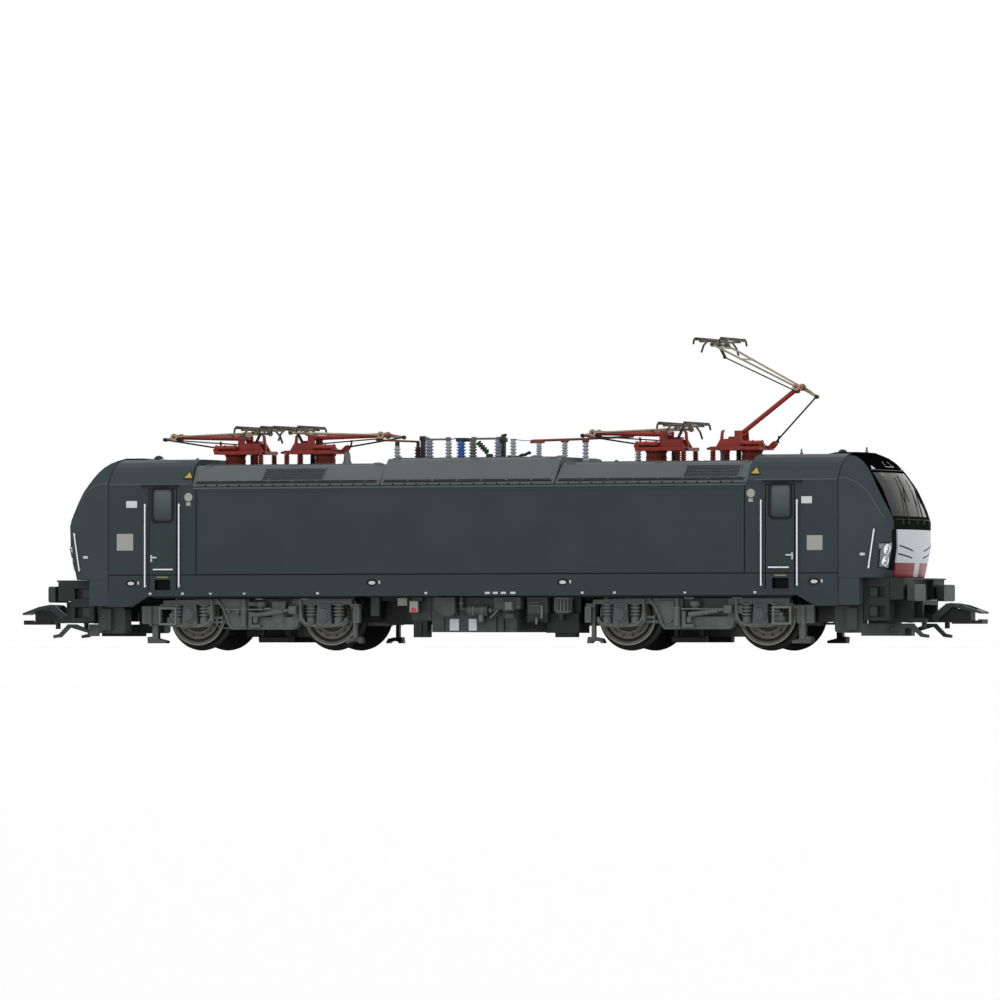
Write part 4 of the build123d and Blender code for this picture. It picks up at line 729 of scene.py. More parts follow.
# blank labels, plates and badges
W_, P_, G_, Y_, K_, R_ = B(), B(), B(), B(), B(), B()
for sy in (-1, 1):
    for sx in (-1, 1):
        y0, y1 = sy * 17.25, sy * 17.37
        wa, wb = (82.85, 85.45) if sx > 0 else (84.3, 87.1)
        W_.plate([(sx * x, z) for x, z in W_.rrect(wa, wb, 32.5, 34.1, 0.12, 2)], y0, y1, 0.03)
        pa, pb, pc, pd = (84.2, 88.0, 21.8, 25.2) if sx > 0 else (85.3, 89.55, 22.4, 26.35)
        P_.plate([(sx * x, z) for x, z in P_.rrect(pa, pb, pc, pd, 0.12, 2)], y0, y1, 0.03)
        cx = sx * (70.5 if sx > 0 else 71.0)
        P_.lathe((cx, sy * 17.2, 34.9), (0, sy, 0), [(0, 1.02), (0.12, 1.02), (0.17, 0.95)], 24)
        P_.plate([(cx - 0.55, 32.9), (cx + 0.55, 32.9), (cx + 0.55, 33.7), (cx - 0.55, 33.7)], y0, y1, 0.03)
        # socket with black collar and pale plug
        for kx in (85.9, 24.0):
            cx = sx * kx
            lift = 0.0
            ell = [(cx + 1.35 * math.cos(a), 14.7 + 0.82 * math.sin(a)) for a in [2 * math.pi * i / 24 for i in range(24)]]
            K_.plate(ell, y0, sy * 17.42, 0.06)
            plug = [(cx + 0.95 * math.cos(a) * (1.0 if math.cos(a) > 0 else 0.8), 14.62 + 0.42 * math.sin(a)) for a in [2 * math.pi * i / 16 for i in range(16)]]
            W_.plate(plug, sy * 17.35, sy * 17.5, 0.05)
            W_.plate([(cx + 1.75, 14.4), (cx + 2.1, 14.35), (cx + 2.1, 15.1), (cx + 1.7, 15.1)], y0, y1, 0.02)
    # small pale dots and lifting marks along the skirt
    for x in (-80.9, -72.5, -37.8, -10.3, 28.9, 36.9, 71.5, 5.2, 7.2, 9.2, 11.6):
        w = 0.32 if x not in (5.2, 7.2, 9.2, 11.6) else 0.62
        W_.plate([(x - w, 11.95), (x + w, 11.95), (x + w, 12.45), (x - w, 12.45)], sy * 17.25, sy * 17.36, 0.02)
    for x in (-65.3, -56.6, 54.3):
        W_.plate([(x - 0.45, 12.35), (x + 0.45, 12.35), (x, 11.85)], sy * 17.25, sy * 17.36, 0.02)
W_.done("side_labels", "label", slot="rail_white")
P_.done("side_plates", "plate", slot="roof_grey")
K_.done("socket_collars", "rubber", slot="buffer_black")

# yellow triangles, left blank, on the roof edge behind each cab
b, tb = B(), B()
for sy in (-1, 1):
    for sx in (-1, 1):
        cx = sx * 71.35
        # slope from (17.3, 37.9) to (14.6, 41.0)
        e = Vector((0, -sy * 1.65, 2.2)).normalized()
        nrm = Vector((0, sy * 2.2, 1.65)).normalized()
        c0 = Vector((cx, sy * 16.08, 39.95))
        big = [(-1.35, -0.95), (1.35, -0.95), (0.0, 1.5)]
        q0 = [tuple(c0 + Vector((u, 0, 0)) + e * v - nrm * 0.1) for u, v in big]
        q1 = [tuple(c0 + Vector((u, 0, 0)) + e * v + nrm * 0.09) for u, v in big]
        tb.prism(q0, q1)
        tri = [(-1.0, -0.72), (1.0, -0.72), (0.0, 1.05)]
        r0 = [tuple(c0 + Vector((u, 0, 0)) + e * v - nrm * 0.1) for u, v in tri]
        r1 = [tuple(c0 + Vector((u, 0, 0)) + e * v + nrm * 0.14) for u, v in tri]
        b.prism(r0, r1)
b.done("roof_edge_triangles", "yellow", slot="rail_white")
tb.done("triangle_borders", "rubber", slot="rail_white")

# ================================================================ nose details, set on the real nose surface
nose_me = NODES["cab_nose_front"].data
flap_me = NODES["front_flaps"].data
lamp_me = NODES["headlights"].data
trees = [BVHTree.FromPolygons([v.co for v in me.vertices], [tuple(p.vertices) for p in me.polygons]) for me in (nose_me, flap_me, lamp_me)]
glass_tree = BVHTree.FromPolygons([v.co for v in NODES["windscreens"].data.vertices], [tuple(p.vertices) for p in NODES["windscreens"].data.polygons])


def hit(y, z, tr=None):
    """Point (mm, height over the rail) and normal of the front end at width y and height z."""
    best = None
    for t in (tr or trees):
        loc, nrm, _, _ = t.ray_cast(Vector((0.14, y * MM, (z + FL) * MM)), Vector((-1, 0, 0)))
        if loc is not None and (best is None or loc.x > best[0].x):
            best = (loc, nrm)
    if best is None:
        return Vector((100.0, y, z)), Vector((1, 0, 0))
    n = best[1] if best[1].x > 0 else -best[1]
    return Vector((best[0].x / MM, best[0].y / MM, best[0].z / MM - FL)), n


def skin_plate(bb, pts, off0, off1, tr=None):
    """Thin plate that follows the front surface; pts are (y, z)."""
    r0, r1 = [], []
    for y, z in pts:
        p, n = hit(y, z, tr)
        r0.append(tuple(p + n * off0))
        r1.append(tuple(p + n * off1))
    bb.prism(r0, r1)


def strip(bb, pts, w, off0, off1, tr=None):
    """Narrow raised line along pts (y, z) on the front surface."""
    L, R = [], []
    for i, (y, z) in enumerate(pts):
        a = pts[max(0, i - 1)]
        c = pts[min(len(pts) - 1, i + 1)]
        d = Vector((c[0] - a[0], c[1] - a[1])).normalized()
        nx, nz = -d.y * w / 2, d.x * w / 2
        L.append((y + nx, z + nz))
        R.append((y - nx, z - nz))
    rings = []
    for (ya, za), (yb, zb) in zip(L, R):
        pa, na = hit(ya, za, tr)
        pb, nb = hit(yb, zb, tr)
        rings.append([tuple(pa + na * off0), tuple(pb + nb * off0), tuple(pb + nb * off1), tuple(pa + na * off1)])
    bb.loft(rings)


def line_pts(a, c, n):
    return [(a[0] + (c[0] - a[0]) * i / n, a[1] + (c[1] - a[1]) * i / n) for i in range(n + 1)]


def side_hit(x, z):
    """Point on the near side of the front end at length x and height z."""
    loc, nrm, _, _ = trees[0].ray_cast(Vector((x * MM, -0.04, (z + FL) * MM)), Vector((0, 1, 0)))
    if loc is None:
        return Vector((x, -17.0, z))
    return Vector((loc.x / MM, loc.y / MM, loc.z / MM - FL))


# painted highlight: a lighter slate line stands for the crease that runs on from the roof edge and curves down beside
# the windscreen
b = B()
path = [(91.9, 38.2), (93.0, 38.3), (94.45, 38.0), (95.5, 37.6), (96.4, 37.1), (97.6, 36.15), (98.4, 35.4), (99.0, 34.7), (99.9, 33.3), (100.7, 31.9), (101.5, 30.5), (102.3, 29.2)]
pts = [side_hit(x, z) for x, z in path]
good = [pts[0]]
for q_ in pts[1:]:
    if abs(q_.y - good[-1].y) < 1.6:
        good.append(q_)
for k, r_ in ((0, 0.11),):
    b.tube([tuple(q_) for q_ in good], r_, 8)
b.mirror(1, -1)
b.mirror(-1, 1)
b.done("nose_crease_highlights", "slate_highlight", slot="body_slate")

b = B()
roof_line = [(17.33, 37.9), (16.83, 38.8), (16.18, 39.8), (15.18, 41.0), (13.77, 42.2), (12.0, 43.18), (10.0, 43.78), (8.0, 44.03), (6.6, 44.12)]
for sx in (-1, 1):
    for sy in (-1, 1):
        b.box(sx * 91.66, sx * 91.86, sy * 17.2, sy * 17.31, 12.6, 37.9)
        b.tube([(sx * 91.76, sy * y_, z_) for y_, z_ in roof_line], 0.1, 6)
b.done("nose_joints", "rubber", slot="buffer_black")

# painted shade: a black plate inside the skirt, over the bogies, stands for the shade there
b = B()
for sx in (-1, 1):
    for sy in (-1, 1):
        b.box(sx * 28.5, sx * 80.5, sy * 13.9, sy * 16.7, 11.1, 11.8)
b.done("skirt_shade_plates", "rubber", slot="underframe_grey")

b = B()
strip(b, line_pts((-11.0, 40.2), (11.0, 40.2), 14), 0.07, -0.15, 0.03)
b.mirror(-1, 1)
b.done("windscreen_top_line", "bar_grey", slot="smoked_glass")

# front panel grooves, outline and sockets below the windscreen; both ends
for sx, tag in ((1, "front"), (-1, "rear")):
    g, w_, ch_, dk = B(), B(), B(), B()
    for sy in (-1, 1):
        for za, zb in ((21.5, 22.7), (19.9, 20.8)):
            strip(g, line_pts((sy * 3.7, za + 0.16), (sy * 10.5, zb + 0.16), 8), 0.34, -0.32, 0.02)
        # headlight: housing rim, two round lamps with bright rings
        rim = [(sy * 12.75, 17.65), (sy * 15.9, 17.85), (sy * 16.55, 23.35), (sy * 12.95, 23.55)]
        for i in range(4):
            strip(dk, line_pts(rim[i], rim[(i + 1) % 4], 4), 0.28, -0.12, 0.1)
        for yy, zz, rr in ((14.35, 19.25, 1.15), (14.6, 21.95, 1.15)):
            p, n = hit(sy * yy, zz)
            ch_.torus(p + n * 0.03, n, rr, 0.16, 28, 8)
            ch_.lathe(p - n * 0.12, n, [(0, rr * 0.95), (0.1, rr * 0.9), (0.12, rr * 0.35), (0.16, rr * 0.3), (0.3, 0.05)], 24)
        # white lamp triangles beside the top of the windscreen
        skin_plate(w_, [(sy * 10.35, 40.42), (sy * 8.9, 40.42), (sy * 9.6, 41.15)], -0.05, 0.08)
    # top lamp in the middle: shallow trapezoid; its pale rim is a painted highlight
    rim = [(-2.6, 41.0), (2.6, 41.0), (1.7, 42.2), (-1.7, 42.2)]
    for i in (0, 1, 3):
        strip(w_, line_pts(rim[i], rim[(i + 1) % 4], 4), 0.1, -0.05, 0.04)
    # lower ledge and wiper foot covers under the windscreen
    strip(dk, line_pts((-11.6, 28.75), (11.6, 28.75), 16), 0.22, -0.1, 0.22)
    for yy in (-9.0, -6.3, -1.5, 3.0, 8.6):
        p, n = hit(yy, 28.2)
        dk.box(p.x - 0.2, p.x + 0.42, yy - 0.5, yy + 0.5, 27.85, 28.5, 0.12)
    for bb, nm, mt, sl in ((g, "panel_grooves_", "rubber", "buffer_black"), (w_, "top_lamps_", "label", "lamp_lens"), (ch_, "lamp_reflectors_", "chrome", "lamp_lens"), (dk, "lamp_rims_", "rubber", "buffer_black")):
        if sx < 0:
            for v in bb.bm.verts:
                v.co.x = -v.co.x
        bb.done(nm + tag, mt, slot=sl)

# ================================================================ buffer beams
b, c_ = B(), B()
for sx in (-1, 1):
    for sy in (-1, 1):
        # inner panels of the square windows, bolts round them and on the front
        for z0, z1 in ((6.5, 9.1), (11.0, 13.5)):
            b.box(sx * 98.1, sx * 99.9, sy * 12.9, sy * 13.9, z0 + 0.1, z1 - 0.1, 0.08)
            for dx, dz in ((97.6, z0 - 0.2), (97.6, z1 + 0.2), (102.45, z0 - 0.2), (102.45, z1 + 0.2)):
                c_.bolt((sx * dx, sy * 14.2, dz), (0, sy, 0), 0.16, 0.1)
        for dy in (6.7, 13.5):
            for z in (10.95, 14.75):
                c_.bolt((sx * 106.4, sy * dy, z), (sx, 0, 0), 0.24, 0.14)
        # ribbed collar behind each buffer plate
        for k in range(3):
            c_.lathe((sx * (106.45 + 0.28 * k), sy * 10.06, 12.07), (sx, 0, 0), [(0, 1.75), (0.1, 1.9), (0.2, 1.75)], 20)
        c_.box(sx * 96.95, sx * 97.25, sy * 14.05, sy * 14.35, 6.0, 15.1, 0.06)
    for yy in (-4.6, -2.6, 2.6, 4.6):
        c_.bolt((sx * 105.2, yy, 14.3), (sx, 0, 0), 0.24, 0.14)
        c_.bolt((sx * 105.2, yy, 11.4), (sx, 0, 0), 0.24, 0.14)
    # draw gear socket over the coupler
    c_.lathe((sx * 105.1, 0, 12.7), (sx, 0, 0), [(0, 1.5), (0.5, 1.5), (0.7, 1.3), (0.7, 0.9), (0.4, 0.85)], 24)
b.done("beam_window_panels", "buffer", slot="underframe_grey")
c_.done("beam_fittings", "beam", slot="underframe_grey")

# small ticks on the end blocks and nose sides
b = B()
for sy in (-1, 1):
    for sx in (-1, 1):
        b.plate([(sx * 97.1, 20.55), (sx * 98.3, 20.55), (sx * 98.3, 21.15), (sx * 97.1, 21.15)], sy * 17.2, sy * 17.42, 0.02)
b.done("nose_labels", "label", slot="rail_white")

# ================================================================ roof
b = B()
for x0, x1, sgn in ((-52.4, -37.2, 1), (53.7, 67.0, 1)):
    for sy in (-1, 1):
        # rim and fine slats of the louvred grille on the slope from (17.3, 37.8) to (12.9, 42.0)
        e = Vector((0, -sy * 4.4, 4.2)).normalized()
        n = Vector((0, sy * 4.2, 4.4)).normalized()
        o0 = Vector((0, sy * 17.3, 37.8))

        def P(x, v, h):
            q = o0 + e * v + n * h
            return (x, q.y, q.z)
        for v0, v1 in ((1.05, 1.3), (5.15, 5.4)):
            b.prism([P(x0 - 0.3, v0, -0.1), P(x0 - 0.3, v1, -0.1), P(x0 - 0.3, v1, 0.14), P(x0 - 0.3, v0, 0.14)],
                    [P(x1 + 0.3, v0, -0.1), P(x1 + 0.3, v1, -0.1), P(x1 + 0.3, v1, 0.14), P(x1 + 0.3, v0, 0.14)])
        for xa in (x0 - 0.3, x1 + 0.05):
            b.prism([P(xa, 1.05, -0.1), P(xa + 0.25, 1.05, -0.1), P(xa + 0.25, 1.05, 0.14), P(xa, 1.05, 0.14)],
                    [P(xa, 5.4, -0.1), P(xa + 0.25, 5.4, -0.1), P(xa + 0.25, 5.4, 0.14), P(xa, 5.4, 0.14)])
b.done("grille_rims", "roof", slot="roof_grey")
b = B()
for x0, x1, sgn in ((-52.4, -37.2, 1), (53.7, 67.0, 1)):
    for sy in (-1, 1):
        e = Vector((0, -sy * 4.4, 4.2)).normalized()
        n = Vector((0, sy * 4.2, 4.4)).normalized()
        o0 = Vector((0, sy * 17.3, 37.8))

        def P(x, v, h):
            q = o0 + e * v + n * h
            return (x, q.y, q.z)
        k = int((x1 - x0) / 0.42)
        for i in range(k):
            xa = x0 + 0.1 + i * 0.42
            b.prism([P(xa, 1.3, -0.05), P(xa + 0.2, 1.3, -0.05), P(xa + 0.2, 1.3, 0.1), P(xa, 1.3, 0.1)],
                    [P(xa, 5.15, -0.05), P(xa + 0.2, 5.15, -0.05), P(xa + 0.2, 5.15, 0.1), P(xa, 5.15, 0.1)])
        for v in (2.2, 3.2, 4.2):
            b.prism([P(x0, v, -0.05), P(x0, v + 0.12, -0.05), P(x0, v + 0.12, 0.07), P(x0, v, 0.07)],
                    [P(x1, v, -0.05), P(x1, v + 0.12, -0.05), P(x1, v + 0.12, 0.07), P(x1, v, 0.07)])
b.done("grille_slats", "grille", slot="roof_grey")

# dark inlets, seams and lifting eyes on the hatches
b, c_, foot = B(), B(), B()
for x in (-22.0, 22.0):
    for sy in (-1, 1):
        prof = [(17.34, 37.4), (17.34, 37.8), (12.93, 42.02), (12.86, 42.3), (12.9, 42.0)]
for x0, x1, top in ((-69.4, -22.6, 42.5), (-21.4, 21.4, 43.75), (22.6, 69.0, 42.5)):
    for sy in (-1, 1):
        # fine ledge along the foot of each hatch
        b.prism([(x0, sy * 17.2, 37.82), (x0, sy * 17.38, 37.84), (x0, sy * 17.38, 37.96), (x0, sy * 17.1, 38.06)],
                [(x1, sy * 17.2, 37.82), (x1, sy * 17.38, 37.84), (x1, sy * 17.38, 37.96), (x1, sy * 17.1, 38.06)])
        b.prism([(x0, sy * 16.55, 38.5), (x0, sy * 16.7, 38.52), (x0, sy * 16.62, 38.66), (x0, sy * 16.4, 38.68)],
                [(x1, sy * 16.55, 38.5), (x1, sy * 16.7, 38.52), (x1, sy * 16.62, 38.66), (x1, sy * 16.4, 38.68)])
        for x in (x0 + 1.6, x0 + (x1 - x0) * 0.5, x1 - 1.6):
            b.box(x - 0.9, x + 0.9, sy * 11.9, sy * 12.7, top - 0.6, top + 0.1, 0.12)
        # painted shade: a black strip stands for the shaded gap under the hatch; also the dashed seam above its foot
        foot.box(x0 + 0.2, x1 - 0.2, sy * 17.2, sy * 17.37, 38.08, 38.3)
        xx = x0 + 0.5
        while xx < x1 - 1.0:
            foot.box(xx, min(xx + 5.6, x1 - 0.5), sy * 17.0, sy * 17.3, 38.42, 38.62)
            xx += 6.2
    # flat covers on the hatch tops
    nx = 4
    for i in range(nx):
        xa = x0 + 2 + (x1 - x0 - 4) * i / nx
        xb = xa + (x1 - x0 - 4) / nx - 1.2
        for sy in (-1, 1):
            b.box(xa, xb, sy * 7.0, sy * 11.2, top - 0.1, top + 0.14, 0.1)
# low humps beside the middle hatch ends
for x, w, h in ((-20.6, 0.9, 0.75), (14.3, 1.6, 0.65), (20.3, 1.4, 0.5), (-25.9, 1.4, 0.5), (26.6, 1.0, 0.5), (34.2, 0.6, 0.6)):
    top = 43.75 if abs(x) < 22 else 42.5
    b.lathe((x, -9.2, top - 0.1), (0, 0, 1), [(0, w), (h * 0.5, w * 0.92), (h, w * 0.4)], 18)
b.done("hatch_details", "roof", slot="roof_grey")
foot.done("hatch_foot_gaps", "rubber", slot="roof_grey")


def ribbed(bb, x, y, z0, z1, r, ribs=5, core=0.62, n=22):
    prof = [(0, r * 0.9), (0.25, r * 0.9), (0.3, r * core)]
    H = z1 - z0
    step = (H - 0.7) / ribs
    for i in range(ribs):
        h = 0.35 + i * step
        prof += [(h + step * 0.12, r * core), (h + step * 0.38, r), (h + step * 0.62, r), (h + step * 0.86, r * core)]
    prof += [(H - 0.3, r * core), (H - 0.25, r * 0.85), (H, r * 0.85)]
    bb.lathe((x, y, z0), (0, 0, 1), prof, n)


PANS = {1: (-63.9, -1), 2: (-46.0, 1), 3: (43.2, -1), 4: (61.7, 1)}
RT = 42.5          # top of the outer hatches
MT = 43.75         # top of the middle hatch
drum, post, dkp, gry, wht = B(), B(), B(), B(), B()
for i, (hx, s) in PANS.items():
    # one large drum under the knee-side end of the base
    cx = hx + s * 2.65
    drum.lathe((cx, 0, RT - 0.05), (0, 0, 1), [(0, 2.75), (0.35, 2.75), (0.4, 2.45), (1.1, 2.4), (1.15, 2.5), (1.4, 2.5), (1.45, 2.38), (2.2, 2.35), (2.55, 2.6), (2.72, 2.6)], 36)
    for u in (-5.6,):
        for y in (-3.9, 3.9):
            ribbed(post, hx + s * u, y, RT - 0.03, 45.15, 0.72, 4, 0.7, 18)
    ribbed(post, hx + s * -3.2, -1.4, RT - 0.03, 45.15, 0.75, 4, 0.7, 18)
    ribbed(dkp, hx + s * -1.2, 1.4, RT - 0.03, 45.15, 0.7, 4, 0.75, 18)
    if i == 4:
        gry.lathe((57.6, 0.0, RT - 0.03), (0, 0, 1), [(0, 1.3), (0.3, 1.3), (0.35, 1.1), (2.3, 1.1), (2.5, 1.25), (2.7, 1.25)], 22)
    if i == 2:
        gry.lathe((-37.75, 0, RT - 0.03), (0, 0, 1), [(0, 1.2), (0.4, 1.2), (1.0, 0.9), (2.6, 0.75), (3.2, 0.5), (3.4, 0.5)], 20)
drum.done("pantograph_drums", "panto_drum", slot="insulator", replaces=("roof_insulators",))
post.done("pantograph_posts", "panto_drum", slot="insulator")
dkp.done("pantograph_dark_posts", "fit_dark", slot="switch_grey", replaces=("roof_switchgear",))

lil, blu, grn, bar, dk2, red = B(), B(), B(), B(), B(), B()
# white and grey ribbed insulators along the middle of the roof
for x, z0, z1, r, bb in ((-24.9, RT, 46.9, 0.8, wht), (-16.7, MT, 48.2, 1.05, lil), (-11.8, MT, 48.0, 0.85, wht), (-8.6, MT, 47.9, 1.15, blu), (-5.6, MT, 48.0, 1.0, gry),
                         (0.8, MT, 48.1, 0.95, lil), (4.6, MT, 48.1, 0.8, wht), (11.1, MT, 47.2, 0.75, wht), (17.6, MT, 47.4, 0.8, wht), (22.85, RT, 47.3, 0.8, wht), (36.0, RT, 46.5, 0.8, wht)):
    ribbed(bb, x, 0.0, z0 - 0.03, z1, r, 5)
# red-brown post and dark bracket posts
ribbed(red, -19.6, 0, MT - 0.03, 46.6, 0.85, 3)
red.cyl((-19.6, 0, 46.5), (-19.6, 0, 48.1), 0.42, 14, 0.1)
dk2.box(-18.75, -17.85, -0.7, 0.7, MT - 0.1, 48.9, 0.12)
dk2.box(-18.95, -17.65, -0.9, 0.9, 48.1, 49.2, 0.18)
dk2.box(1.7, 2.6, -0.6, 0.6, MT - 0.1, 49.2, 0.12)
dk2.box(1.35, 2.95, -0.85, 0.85, 47.6, 48.6, 0.18)
dk2.cyl((1.6, 0, 49.1), (2.9, 0, 49.35), 0.3, 12, 0.08)
dk2.box(-9.7, -7.4, -0.85, 0.85, 47.75, 48.7, 0.2)
dk2.cyl((-7.4, 0, 48.3), (-5.0, 0, 48.0), 0.45, 14, 0.1)
dk2.box(-2.1, -0.7, -0.8, 0.8, MT - 0.05, 44.9, 0.2)
dk2.tube([(6.2, -0.6, 44.0), (6.9, -0.6, 44.5), (7.9, -0.6, 44.6), (8.8, -0.6, 45.1), (9.2, -0.6, 44.9)], 0.38, 10)
dk2.tube([(2.9, 0.5, 44.2), (3.8, 0.6, 44.3), (5.4, 0.6, 44.1), (6.4, 0.4, 44.2)], 0.3, 10)
dk2.cyl((-24.9, 0, 46.85), (-24.9, 0, 47.9), 0.55, 14, 0.15)
# grey contact bars
bar.box(-18.0, -11.2, -0.28, 0.28, 48.15, 48.62, 0.1)
bar.box(-5.9, 2.0, -0.28, 0.28, 48.2, 48.7, 0.1)
for x in (-17.3, -11.9, -5.4, 1.0):
    bar.box(x - 0.55, x + 0.55, -0.5, 0.5, 48.0, 48.9, 0.15)
bar.box(4.0, 5.2, -0.5, 0.5, 47.95, 48.35, 0.12)
# green coil, slanting
for k in range(5):
    grn.lathe((-4.35 + 0.5 * k, 0.1, 47.6 - 0.5 * k), (0.7, 0, -0.7), [(0, 0.45), (0.12, 0.72), (0.3, 0.72), (0.42, 0.45), (0.62, 0.45)], 16)
# thin bare wires
bar.tube([(4.6, 0, 48.3), (6.0, 0, 48.05), (8.0, 0, 47.85), (9.6, 0, 47.95)], 0.09, 6)
bar.tube([(-11.2, 0, 48.4), (-10.2, 0, 48.55), (-9.6, 0, 48.4)], 0.14, 8)
# red-brown conductor over the front part, and its saddles
bus = B()
bus.cyl((9.2, 0, 47.85), (22.6, 0, 48.15), 0.3, 14, 0.08)
bus.cyl((22.6, 0, 48.15), (34.9, 0, 48.6), 0.26, 14, 0.08)
bus.box(9.0, 12.4, -0.55, 0.55, 47.25, 47.85, 0.14)
bus.box(16.7, 18.5, -0.5, 0.5, 47.4, 47.9, 0.14)
bus.box(22.1, 23.6, -0.5, 0.5, 47.3, 48.4, 0.14)
bus.cyl((-30.4, 0, 48.4), (-19.6, 0, 47.9), 0.24, 12, 0.08)
bus.cyl((36.0, 0, 46.5), (36.0, 0, 47.3), 0.35, 12, 0.08)
bus.done("roof_conductors", "busbar", slot="busbar_red", replaces=("roof_busbars",))
wht.done("white_insulators", "ins_white", slot="insulator")
lil.done("pale_insulators", "ins_lilac", slot="insulator")
blu.done("blue_insulator", "ins_blue", slot="insulator")
gry.done("grey_insulators", "ins_grey", slot="insulator")
grn.done("green_coil", "green", slot="switch_grey")
bar.done("contact_bars", "bar_grey", slot="switch_grey")
dk2.done("dark_switch_parts", "fit_dark", slot="switch_grey")
red.done("brown_post", "brown_red", slot="insulator")

# cab roof: horn domes, low pods, short aerials
b, c_ = B(), B()
for sx in (-1, 1):
    b.lathe((sx * 86.6, 0, 44.38), (0, 0, 1), [(0, 1.25), (0.12, 1.22), (0.2, 1.05), (0.45, 0.95), (0.7, 0.6), (0.83, 0.1)], 24)
    c_.cyl((sx * 76.5, 0, 43.9), (sx * 76.5, 0, 44.5), 0.42, 12, 0.1)
    if sx > 0:
        c_.cyl((76.5, 0, 43.9), (76.5, 0, 45.4), 0.22, 10, 0.06)
        c_.cyl((92.5, 0, 44.2), (92.5, 0, 45.6), 0.24, 10, 0.06)
        c_.cyl((92.5, 0, 44.2), (92.5, 0, 44.7), 0.42, 12, 0.1)
b.done("roof_pods", "fit_dark", slot="fitting_grey", replaces=("roof_fittings",))
c_.done("roof_aerials", "ins_grey", slot="fitting_grey")

# ================================================================ bogies: coils, covers, pipes, and edges painted light as highlights
HB = 17.24


def bogie_set(name, mat, make, slot="underframe_grey"):
    """Same detail on both sides of both bogies, modelled about the pivot on the near side."""
    for tag, sg in (("front", 1), ("rear", -1)):
        bb = B()
        make(bb)
        bb.shift_copy(0.0, rot=True)
        for v in bb.bm.verts:
            v.co.x = sg * (54.6 + v.co.x)
        bb.done(name + "_" + tag, mat, body="bogie_" + tag, slot=slot)


def coils(bb):
    for ax in (-HB, HB):
        for dx in (-3.5, 3.5):
            for n in range(4):
                bb.torus((ax + dx, -13.7, 7.16 + n * 0.78), (0, 0, 1), 1.2, 0.17, 20, 8)


def covers(bb):
    for ax in (-HB, HB):
        bb.lathe((ax, -15.62, 7.0), (0, -1, 0), [(0, 1.22), (0.14, 1.22), (0.2, 1.12), (0.22, 0.35), (0.3, 0.3)], 24)
        for k in range(6):
            a_ = math.radians(60 * k + 30)
            bb.bolt((ax + 0.85 * math.cos(a_), -15.82, 7.0 + 0.85 * math.sin(a_)), (0, -1, 0), 0.15, 0.1)
        bb.plate([(ax - 1.3, 8.7), (ax + 1.3, 8.7), (ax + 1.2, 9.6), (ax - 1.2, 9.6)], -14.65, -14.85, 0.06)
        bb.bolt((ax - 0.7, -14.84, 9.15), (0, -1, 0), 0.18, 0.12)
        bb.bolt((ax + 0.7, -14.84, 9.15), (0, -1, 0), 0.18, 0.12)


def edges(bb):
    for ax in (-HB, HB):
        s_ = 1 if ax < 0 else -1
        bb.torus((ax, -15.3, 7.0), (0, 1, 0), 1.52, 0.09, 28, 6)
        bb.box(ax - 5.8, ax + 5.8, -14.52, -14.36, 10.2, 10.34)
        bb.tube([(ax + s_ * 5.85, -15.05, 10.7), (ax + s_ * 5.8, -15.05, 8.3), (ax + s_ * 5.55, -15.0, 6.7), (ax + s_ * 4.9, -14.8, 5.5), (ax + s_ * 3.6, -14.65, 4.75), (ax + s_ * 2.0, -14.6, 4.45)], 0.2, 8)
        bb.tube([(ax - s_ * 5.6, -14.7, 6.4), (ax - s_ * 4.9, -14.7, 5.3), (ax - s_ * 3.2, -14.65, 4.75), (ax - s_ * 2.0, -14.6, 4.5)], 0.16, 8)
        for x_ in (-4.9, -2.3, 2.3, 4.9):
            bb.bolt((ax + x_, -14.4, 9.95), (0, -1, 0), 0.2, 0.14)
        for z_ in (6.5, 5.5):
            bb.lathe((ax + s_ * 7.9, -13.9, z_), (s_, 0, 0), [(0, 0.3), (0.08, 0.52), (0.34, 0.52), (0.42, 0.3)], 12)
    # rim of the sweep and of the low beam
    bb.tube([(-9.9, -14.82, 10.8), (-8.3, -14.84, 8.75), (-7.4, -14.84, 6.65), (-6.9, -14.84, 5.15), (-6.1, -14.84, 4.1), (9.2, -14.84, 4.1), (10.0, -14.84, 4.9), (10.25, -14.84, 6.3)], 0.1, 6)
    bb.box(-1.9, 8.2, -15.42, -15.26, 8.36, 8.54, 0.03)
    # open end bracket and small box outlines
    o_ = bb.rrect(20.4, 25.0, 4.8, 9.0, 0.15, 2)
    i_ = bb.rrect(20.8, 24.6, 5.2, 8.6, 0.1, 2)
    bb.ring_plate(o_, i_, -15.15, -15.3)
    o_ = bb.rrect(-26.15, -24.75, 5.35, 8.95, 0.1, 2)
    i_ = bb.rrect(-25.9, -25.0, 5.6, 8.7, 0.1, 2)
    bb.ring_plate(o_, i_, -14.38, -14.5)
    # yaw damper collars, damper head, eye of the swing link
    for t_ in (0.04, 0.12, 0.62, 0.97):
        bb.lathe((-0.1 + 7.0 * t_, -15.2, 7.1 + 0.9 * t_), (7.0, 0, 0.9), [(0, 0.5), (0.05, 0.66), (0.3, 0.66), (0.35, 0.5)], 14)
    bb.lathe((-3.1, -15.0, 8.5), (0, 0, 1), [(0, 0.6), (0.06, 0.86), (0.3, 0.86), (0.36, 0.6)], 16)
    bb.lathe((1.0, -13.9, 9.3), (0, 0, 1), [(0, 1.1), (0.08, 1.32), (0.3, 1.32), (0.38, 1.1)], 20)
    bb.lathe((1.0, -13.9, 9.8), (0, 0, 1), [(0, 1.1), (0.08, 1.32), (0.3, 1.32), (0.38, 1.1)], 20)
    for x_, z_ in ((-6.2, 9.8), (-6.2, 7.2), (-4.4, 4.8), (6.0, 5.4), (8.6, 5.4), (3.0, 5.4), (9.2, 8.9), (10.0, 8.9)):
        bb.bolt((x_, -14.84 if z_ < 7 else -14.45, z_), (0, -1, 0), 0.2, 0.16)


